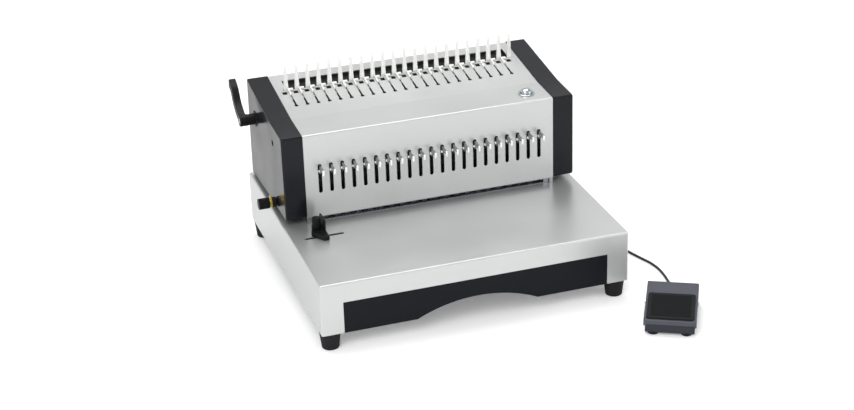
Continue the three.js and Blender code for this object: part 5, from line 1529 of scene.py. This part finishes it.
    @staticmethod
    def _bezier(knots: Sequence[Vector], t: float) -> tuple[Vector, Vector]:
        """Return a point of a cubic curve and its direction there."""
        a, b, c, d = knots
        here = a * (1 - t) ** 3 + b * (3 * t * (1 - t) ** 2) + c * (3 * t * t * (1 - t)) + d * t ** 3
        run = (b - a) * (1 - t) ** 2 + (c - b) * (2 * t * (1 - t)) + (d - c) * t * t
        return here, run.normalized()

    def handle(self) -> None:
        """Shape the curved lever and its hub, with the screw before it and behind it a black bush flange, painted shade
        for the hub's shadow and reflection on the cap.
        """
        outer = self.hub_face
        knots = [Vector(p) for p in self.lever_path]
        root, tip = self.lever_widths
        left: list[Point] = []
        right: list[Point] = []
        for i in range(self.lever_steps + 1):
            t = i / self.lever_steps
            here, run = self._bezier(knots, t)
            reach = (root + (tip - root) * t) / 2
            left.append((here.x - run.y * reach, here.y + run.x * reach))
            right.append((here.x + run.y * reach, here.y - run.x * reach))
        lever = stood([*right, *reversed(left)], self.lever_thickness, Stand.SIDE, self.lever_side, rim=0.9, steps=4)
        hub_profile = [
            (0.0, outer - 12.5), (5.3, outer - 12.5), (5.3, 189.8), (6.6, 189.8), (7.1, 190.3), (7.1, 199.0),
            (7.5, 199.4), (7.5, outer - 1.2), *arc(6.5, outer - 1.0, 1.0, 0, QUARTER, 4), (4.6, outer),
            (4.4, outer - 0.7), (0.0, outer - 0.7),
        ]
        # The black flange is painted shade: a dark disc on the cap's side where the hub casts its shadow and shows its
        # reflection
        shade_flange_profile = [(7.9, 189.0), (10.2, 189.0), (10.2, 189.7), (9.6, 190.2), (7.9, 190.2), (7.9, 189.0)]
        y, z = self.axis
        hub = turned(hub_profile, 48, laid((0, 0, 0), "Y", -QUARTER))
        lever = moved(merged([lever, hub]), Matrix.Translation((0, y, z)))
        radius, height, sink = self.screw
        screw = moved(screw_head(radius, height), laid((-outer + sink, y, z), "Y", -QUARTER))
        flange = turned(shade_flange_profile, 48, laid((0, y, z), "Y", -QUARTER))
        finished("opener_lever", lever, BLACK, "opener", ("opener_handle",), "handle_plastic", 38.0)
        finished("lever_screw", screw, STEEL, "opener", slot="frame_steel")
        finished("opener_shade_flange", flange, BLACK, "root", slot="cap_plastic")

    def build(self) -> None:
        """Build and dress the comb opener."""
        self.fingers()
        self.hooks()
        self.handle()
        dressed("opener_shaft", STEEL)


def fluted(radius: float, ribs: int, depth: float) -> list[Point]:
    """Return a round outline with shallow flutes between its ribs."""
    section = ((0.0, 0.0), (0.4, 0.0), (0.55, depth), (0.7, depth * 1.15), (0.85, depth))
    points: list[Point] = []
    for i in range(ribs):
        for share, dip in section:
            angle = (i + share) * 2 * math.pi / ribs
            points.append(((radius - dip) * math.cos(angle), (radius - dip) * math.sin(angle)))
    return points


@dataclass
class MarginKnob:
    """The ribbed knob that sets the margin, with a brass pointer behind it on its shaft.

    The pointer gives its radius, the reach of its tip and its thickness.
    """

    y: float = 210.0
    z: float = 103.0
    face: float = 212.6
    back: float = 198.6
    radius: float = 6.9
    ribs: int = 18
    flute: float = 0.7
    crown_drop: float = 0.4
    boss_front: float = 3.5
    pointer: Place = (5.9, 9.9, 3.0)
    pointer_gap: float = 0.3

    def build(self) -> None:
        """Build and dress the knob and its pointer."""
        face, end = self.face, self.back - self.boss_front
        grip = plate(fluted(self.radius, self.ribs, self.flute), face - self.back - self.crown_drop, rim=0.3, steps=2)
        grip.transform(Matrix.Translation((0, 0, self.back)))
        crown = turned([(0, face - 0.5), (5.6, face - 0.5), (5.4, face - 0.1), (4.8, face), (0, face)], 40)
        boss = turned([(0, 190.0), (6.2, 190.0), (6.6, 190.4), (6.6, end), (0, end)], 40)
        place = laid((0, self.y, self.z), "Y", -QUARTER)
        knob = moved(merged([grip, crown, boss]), place)
        finished("margin_grip", knob, BLACK, "margin", ("margin_knob",), "knob_plastic")
        radius, reach, thickness = self.pointer
        tip = math.acos(radius / reach)
        outline = [(reach, 0.0), *arc(0, 0, radius, tip, 2 * math.pi - tip, 32)]
        washer = plate(outline, thickness, rim=0.25, steps=2)
        washer.transform(Matrix.Translation((0, 0, self.back - self.pointer_gap - thickness)))
        finished("margin_pointer", moved(washer, place), BRASS, "margin", slot="brass_collar")
        dressed("margin_shaft", BLACKED)


@dataclass
class StartButton:
    """The domed chrome button in its ring.

    The button stands as high as its top over the strip before the deck, and its dome rises from there.
    """

    radius: float = 7.4
    play: float = 0.3
    wall: float = 1.3
    length: float = 12.0
    top: float = 3.9
    rise: float = 3.4

    def place(self) -> Matrix:
        """Return the button's seat on the strip before the deck."""
        x, y = BUTTON_PLACE
        z = STRIP_FRONT[1] + (y - STRIP_FRONT[0]) * math.tan(STRIP_SLOPE)
        return laid((x, y, z), "X", STRIP_SLOPE)

    def build(self) -> None:
        """Build and dress the button and its ring."""
        inner = self.radius + self.play
        outer = inner + self.wall
        bezel = [
            (inner, -9.0), (outer, -9.0), (outer, 0.3), (outer + 1.6, 0.3), (outer + 1.5, 0.8), (outer + 0.9, 1.35),
            (outer + 0.2, 1.6), (inner + 0.4, 1.6), (inner, 1.2), (inner, -9.0),
        ]
        finished("button_ring", turned(bezel, 56, self.place()), CHROME, "root", ("button_bezel",), "chrome_ring")
        top, crest, low = self.top, self.top + self.rise, self.top - self.length
        dome_radius = (self.radius ** 2 + self.rise ** 2) / (2 * self.rise)
        angle = math.asin(self.radius / dome_radius)
        dome = arc(0, crest - dome_radius, dome_radius, QUARTER - angle, QUARTER, 12)[1:-1]
        profile = [(0.0, low), (self.radius, low), (self.radius, top - 0.2), *dome, (0.0, crest)]
        button = turned(profile, 56, self.place())
        finished("button_dome", button, CHROME, "button", ("push_button",), "chrome_ring", 50.0)


@dataclass
class EdgeGuide:
    """The sheet guide that slides in the base's slot, and its clamp knob.

    The fence gives its front, its back, its left side and its thickness, and the key that runs in the slot its
    sides, its front and back and its underside. The chamfer is that of the knob's skirt, and the laps are how far the
    skirt and the stem run into the grip.
    """

    seat: float = 87.6
    block_height: float = 5.7
    corners: tuple[Point, ...] = (
        (-148.7, 112.2), (-148.7, 150.0), (-161.0, 150.0), (-164.6, 137.0), (-167.0, 129.6), (-155.7, 112.2),
    )
    fence: Sizes = (128.6, 150.0, -151.2, 2.5)
    fence_height: float = 19.5
    key: Sizes = (-163.8, -151.8, 123.8, 128.2, 83.3)
    key_overlap: float = 2.0
    knob_place: Point = (-157.8, 138.0)
    knob_radius: float = 5.3
    knob_height: float = 14.2
    knob_gap: float = 0.3
    knob_ribs: int = 16
    flute: float = 0.5
    skirt: float = 1.2
    chamfer: Point = (0.1, 0.3)
    laps: Point = (0.1, 0.4)
    stem_radius: float = 2.0
    stem_length: float = 2.6

    def build(self) -> None:
        """Build and dress the guide and its knob."""
        self.body()
        self.knob()

    def body(self) -> None:
        """Mould the block with its fence and its key."""
        block = stood(rounded(self.corners, 1.2, 4), self.block_height, Stand.FLAT, self.seat, rim=0.8, steps=4)
        front, back, side, thickness = self.fence
        upright = rectangle(front, back, self.seat, self.seat + self.fence_height)
        fence = stood(rounded(upright, [0.4, 0.4, 1.6, 1.6], 5), thickness, Stand.SIDE, side, rim=0.5, steps=3)
        left, right, near, far, low = self.key
        key = rounded_box((left, near, low), (right, far, self.seat + self.key_overlap), 0.3, 2)
        finished("guide_body", merged([block, fence, key]), BLACK, "guide", ("edge_guide",), "guide_plastic", 40.0)

    def knob(self) -> None:
        """Turn the clamp knob: its ribbed grip with skirt and stem, and its crown."""
        foot = self.seat + self.block_height + self.knob_gap
        top = foot + self.knob_height
        skirt_lap, stem_lap = self.laps
        radius, end = self.knob_radius, foot + self.skirt + skirt_lap
        ribbed = fluted(radius, self.knob_ribs, self.flute)
        grip = stood(ribbed, self.knob_height - self.skirt, Stand.FLAT, foot + self.skirt, rim=0.3)
        inset, rise = self.chamfer
        skirt = turned([(0, foot), (radius - inset, foot), (radius, foot + rise), (radius, end), (0, end)], 40)
        stem = rod(self.stem_radius, foot - self.stem_length, foot + stem_lap)
        place = Matrix.Translation((*self.knob_place, 0))
        whole = moved(merged([grip, skirt, stem]), place)
        finished("clamp_grip", whole, BLACK, "clamp", ("guide_knob",), "knob_plastic", 36.0)
        profile = [
            (0, top - 0.3), (4.2, top - 0.3), (4.2, top + 0.2), (3.7, top + 0.8), (2.4, top + 1.15), (0, top + 1.2),
        ]
        finished("clamp_crown", turned(profile, 40, place), BLACK, "clamp", ("guide_knob",), "knob_plastic", 50.0)


@dataclass
class PowerInlet:
    """The appliance inlet at the back with its rocker switch.

    Sizes are widths and heights, and drop and rise are distances from the inlet's middle. The body starts before the
    flange's back, and the floor of the well behind the body's depth. A blade gives its distance from its neighbour,
    half its width, its length and the heights of its edges under the middle.
    """

    x: float = -120.0
    z: float = 54.0
    face: float = 343.9
    flange: float = 2.2
    flange_size: Point = (31.0, 48.0)
    body_size: Point = (27.0, 44.0)
    body_depth: float = 15.0
    body_start: float = 0.4
    floor_depth: float = 7.2
    floor_start: float = 0.1
    well_size: Point = (23.5, 16.0)
    well_drop: float = 11.0
    rocker_size: Point = (19.6, 14.2)
    rocker_rise: float = 11.5
    rocker_width: float = 19.0
    rocker_half: float = 6.0
    rocker_proud: float = 1.6
    rocker_tilt: float = math.radians(7)
    blade: Sizes = (7.0, 1.0, 13.2, 13.0, 9.0)

    def _centred(self, size: Point, z: float) -> list[Point]:
        """Return a rectangle of a width and height round the inlet's upright middle line."""
        width, height = size
        return rectangle(self.x - width / 2, self.x + width / 2, z - height / 2, z + height / 2)

    def build(self) -> None:
        """Build and dress the inlet and its rocker."""
        self.socket()
        self.rocker()

    def socket(self) -> None:
        """Mould the inlet round its well and its rocker's opening, and set the three blades."""
        back = self.face + self.flange
        openings = [
            rounded(self._centred(self.well_size, self.z - self.well_drop), [1.0, 1.0, 4.0, 4.0], 4),
            rounded(self._centred(self.rocker_size, self.z + self.rocker_rise), 0.6, 3),
        ]
        flange = rounded(self._centred(self.flange_size, self.z), 4.0, 8)
        body = self._centred(self.body_size, self.z)
        moulding = merged([
            stood(flange, self.flange, Stand.FRONT, back, openings, rim=0.5, steps=3),
            stood(body, self.body_depth, Stand.FRONT, back - self.body_start, openings, rim=0.1, steps=1),
            stood(body, self.floor_depth, Stand.FRONT, back - self.body_depth - self.floor_start, rim=0.1, steps=1),
        ])
        finished("inlet_moulding", moulding, BLACK, "root", ("power_inlet",), "inlet_plastic")
        pitch, half, length, low, high = self.blade
        end = back - self.flange
        blades = merged([
            rounded_box((x - half, end - length, self.z - low), (x + half, end, self.z - high), 0.4, 2)
            for x in (self.x - pitch, self.x, self.x + pitch)
        ])
        finished("inlet_pins", blades, BRASS, "root", slot="brass_collar")

    def rocker(self) -> None:
        """Mould the tilted rocker with its two marks."""
        face, half = self.flange + self.rocker_proud, self.rocker_half
        dip = math.tan(self.rocker_tilt) * half
        outline = rounded([
            (-8, -3.2), (0, -half), (face + dip, -half), (face - dip / 2, 0), (face - dip, half), (0, half), (-8, 3.2),
        ], [0.5, 0.3, 0.7, 6.0, 0.7, 0.3, 0.5], 4)
        key = stood(outline, self.rocker_width, Stand.SIDE, -self.rocker_width / 2, rim=0.4, steps=2)
        bar = rounded_box((-0.35, face - 0.35, 2.4), (0.35, face - 0.12, 4.8), 0.05, 1)
        circle = plate(ring(0, 0, 1.4, 28), 0.3, [ring(0, 0, 0.9, 28)], rim=0.05, steps=1)
        circle.transform(laid((0, face + 0.5, -3.6), "X", math.radians(83)))
        place = Matrix.Translation((self.x, self.face, self.z + self.rocker_rise))
        finished("rocker_key", moved(key, place), BLACK, "rocker", ("power_rocker",), "inlet_plastic", 40.0)
        finished("rocker_marks", moved(merged([bar, circle]), place), DIAL_MARK, "rocker", slot="inlet_plastic")


@dataclass
class FootPedal:
    """The foot pedal: tray, tilting plate with its rubber tread, pivot bolt and return spring.

    The pivot gives its Y and its height. The ear gives half its width at the skirt, half its width at its lower end
    and its drop under the pivot. The tread gives its inset from the sides, its front and back and its thickness. A
    tread rib gives its inset, its first place, its pitch and half its width. The tray gives its inset, its front,
    its underside and the height of its back, its front is lower by its lip, and its bearings give half their widths at
    foot and top and their height. The pads give their distance from the sides, the front and the back, and
    the grommet its place across, its height and its radius. The spring's coil gives its radius, its turns, its pitch,
    the reach of its ends and the height that the lower end rests at.
    """

    width: float = 62.0
    length: float = 86.0
    front_height: float = 20.6
    back_height: float = 27.0
    skirt: float = 8.4
    sheet: float = 1.5
    hem: float = 4.0
    overrun: float = 6.0
    pivot: Point = (58.0, 14.0)
    pivot_hole: float = 2.3
    hole_reach: float = 5.0
    ear: Place = (9.0, 4.5, 4.0)
    ear_root: float = -4.2
    lip: Sizes = (1.8, 1.6, -6.0)
    tread_box: Sizes = (2.9, 2.4, 57.6, 2.0)
    tread_rib: Sizes = (7.4, 7.4, 1.55, 0.4)
    tread_ribs: int = 30
    tray_box: Sizes = (2.0, 2.6, 3.0, 16.0)
    tray_gap: float = 0.2
    tray_lip: float = 2.0
    bearing: Place = (14.0, 7.0, 19.2)
    pads: Sizes = (11.5, 8.2, 9.0)
    grommet: Place = (PEDAL_MIDDLE, 9.0, 4.4)
    coil: Sizes = (2.9, 4.5, 1.5, 14.0, 5.4)
    coil_steps: int = 20
    wire: float = 0.6

    def ground(self) -> Matrix:
        """Return the matrix from the pedal's own frame to the machine's."""
        return laid((*PEDAL_PLACE, 0), "Z", PEDAL_TURN)

    def slope(self) -> float:
        """Return the plate's slope at rest."""
        return math.atan2(self.back_height - self.front_height, self.length)

    def on_plate(self) -> Matrix:
        """Return the matrix from the plate's own frame to the machine's."""
        return self.ground() @ Matrix.Translation((0, 0, self.front_height)) @ Matrix.Rotation(self.slope(), 4, "X")

    def plate_sheet(self) -> None:
        """Fold the plate with its skirts, front lip and ears."""
        slope, skirt, past = self.slope(), self.skirt, self.overrun
        span = self.length / math.cos(slope)
        box = rounded_box((0, 0, -skirt - self.hem), (self.width, span + past, 0), 1.8, 5)
        split(box, (0, 0, -skirt), (0, 0, -1), clear_outer=True)
        split(box, (0, span, 0), (0, 1, 0), clear_outer=True)
        inset, lip_depth, lip_top = self.lip
        lip_cut = rounded_box((inset, -3, -skirt - past), (self.width - inset, lip_depth, lip_top), 0.2, 1)
        shell = reshaped(box, [lip_cut], shell=self.sheet)
        rise = self.pivot[1] - self.front_height
        along = self.pivot[0] * math.cos(slope) + rise * math.sin(slope)
        up = rise * math.cos(slope) - self.pivot[0] * math.sin(slope)
        wide, narrow, drop = self.ear
        outline = rounded([
            (along - wide, self.ear_root), (along - wide, -skirt), (along - narrow, up - drop),
            (along + narrow, up - drop), (along + wide, -skirt), (along + wide, self.ear_root),
        ], [0, 1.0, 3.0, 3.0, 1.0, 0], 5)
        ears = [stood(outline, self.sheet, Stand.SIDE, x, rim=0.2) for x in (0.0, self.width - self.sheet)]
        reach = self.hole_reach
        hole = rod(self.pivot_hole, -reach, self.width + reach, 24, laid((0, along, up), "Y"))
        whole = moved(reshaped(merged([shell, *ears]), [hole]), self.on_plate())
        finished("pedal_sheet", whole, PEDAL, "pedal", ("pedal_plate",), "pedal_paint", 36.0)

    def tread(self) -> None:
        """Mould the rubber tread with its fine ribs."""
        inset, front, back, thickness = self.tread_box
        outline = rounded(rectangle(inset, self.width - inset, front, back), 3.4, 8)
        pad = stood(outline, thickness, Stand.FLAT, 0.3, rim=0.7, steps=4)
        rib_inset, first, pitch, half = self.tread_rib
        rib = rounded_box((rib_inset, -half, 1.9), (self.width - rib_inset, half, 2.65), 0.2, 2)
        ribs = repeated(rib, [Matrix.Translation((0, first + i * pitch, 0)) for i in range(self.tread_ribs)])
        whole = moved(merged([pad, ribs]), self.on_plate())
        finished("tread_pad", whole, TREAD, "pedal", ("pedal_tread",), "tread_rubber", 40.0)

    def tray(self) -> None:
        """Fold the tray that the plate tilts on, with its pads and grommet."""
        inset, front, low, high = self.tray_box
        left, right, back = inset, self.width - inset, self.length - inset
        lip, gap = high - self.tray_lip, self.tray_gap
        y, z = self.pivot
        wide, narrow, top = self.bearing
        side = rounded([
            (front, low), (back, low), (back, high), (y + wide, high), (y + narrow, top), (y - narrow, top),
            (y - wide, lip), (front, lip),
        ], [1.0, 1.0, 1.5, 2.0, 2.0, 2.0, 2.0, 1.5], 4)
        hole = ring(y, z, self.pivot_hole, 24)
        sides = [stood(side, self.sheet, Stand.SIDE, x, [hole], rim=0.2) for x in (left, right - self.sheet)]
        middle, height, radius = self.grommet
        wall = rounded(rectangle(left, right, low, high), 0.8, 3)
        tray = merged([
            *sides,
            rounded_box((left + gap, front + gap, low), (right - gap, back - gap, low + self.sheet), 0.3, 2),
            rounded_box((left, front, low), (right, front + self.sheet, lip), 0.3, 2),
            stood(wall, self.sheet, Stand.FRONT, back, [ring(middle, height, radius, 24)], rim=0.2),
        ])
        beside, before, behind = self.pads
        places = [
            Matrix.Translation((x, y, 0)) for x in (beside, self.width - beside) for y in (before, self.length - behind)
        ]
        pads = repeated(turned([(0.0, 0.0), (5.6, 0.0), (6.5, 0.5), (6.9, 1.4), (6.9, 3.1), (0.0, 3.1)], 40), places)
        ribs = relief_ribs(3, (4.4, 1.6), (0.4, 2.0), (1.0, 1.2, 1.9), 0.7)
        relief = turned([
            (1.9, -2.6), (4.2, -2.6), (4.2, 0.0), (4.6, 0.0), (4.6, 1.2), *ribs, (2.6, 7.9), (1.9, 8.0), (1.9, -2.6),
        ], 32, laid((middle, back, height), "X", -QUARTER))
        # The tray wears the darker copy of the pedal paint, painted shade under the plate
        for name, mesh, finish, slot, sharp in (
            ("pedal_tray", tray, PEDAL_SHADED_TRAY, "pedal_paint", 36.0), ("pedal_pads", pads, RUBBER, "foot_rubber", 32.0),
            ("pedal_grommet", relief, RUBBER, "foot_rubber", 32.0),
        ):
            finished(name, moved(mesh, self.ground()), finish, "root", ("pedal_base",), slot, sharp)

    def pivot_bolt(self) -> None:
        """Turn the pivot bolt, a round head at each end."""
        head = [(0.0, 2.3), (2.4, 2.3), (3.1, 1.9), (3.4, 1.2), (3.4, 0.3), (2.0, 0.3)]
        profile = [(radius, -off) for radius, off in head] + [(radius, self.width + off) for radius, off in head[::-1]]
        bolt = turned(profile, 32, laid((0, *self.pivot), "Y"))
        finished("pivot_bolt", moved(bolt, self.ground()), BRIGHT, "root", ("pedal_pin",), "zinc_bolt")

    def spring(self) -> None:
        """Wind the return spring round the bolt."""
        y, z = self.pivot
        radius, turns, pitch, reach, rest = self.coil
        steps = int(turns * self.coil_steps)
        coil = []
        for i in range(steps + 1):
            t = i / (turns * self.coil_steps)
            angle = QUARTER - t * turns * 2 * math.pi
            x = PEDAL_MIDDLE + (t - 0.5) * turns * pitch
            coil.append((x, y + radius * math.cos(angle), z + radius * math.sin(angle)))
        (x0, y0, z0), (x1, y1, z1) = coil[0], coil[-1]
        path = [(x0, y0 - reach, z0), *coil, (x1, y1 - reach / 2, (z1 + rest) / 2), (x1, y1 - reach, rest)]
        wire = moved(swept(path, self.wire), self.ground())
        finished("return_spring", wire, STEEL, "root", ("pedal_spring",), "spring_wire", 60.0)

    def build(self) -> None:
        """Build and dress the pedal."""
        self.plate_sheet()
        self.tread()
        self.tray()
        self.pivot_bolt()
        self.spring()


def main() -> None:
    """Build the whole picture."""
    logging.basicConfig(level=logging.INFO, format="%(message)s")
    Studio().set_up()
    PedalCord().build()
    for assembly in (
        Base(), ChipDrawer(), Housing(), ReleasePulls(), CombOpener(), MarginKnob(), StartButton(), EdgeGuide(),
        PowerInlet(), FootPedal(),
    ):
        assembly.build()


if __name__ == "__main__":
    main()
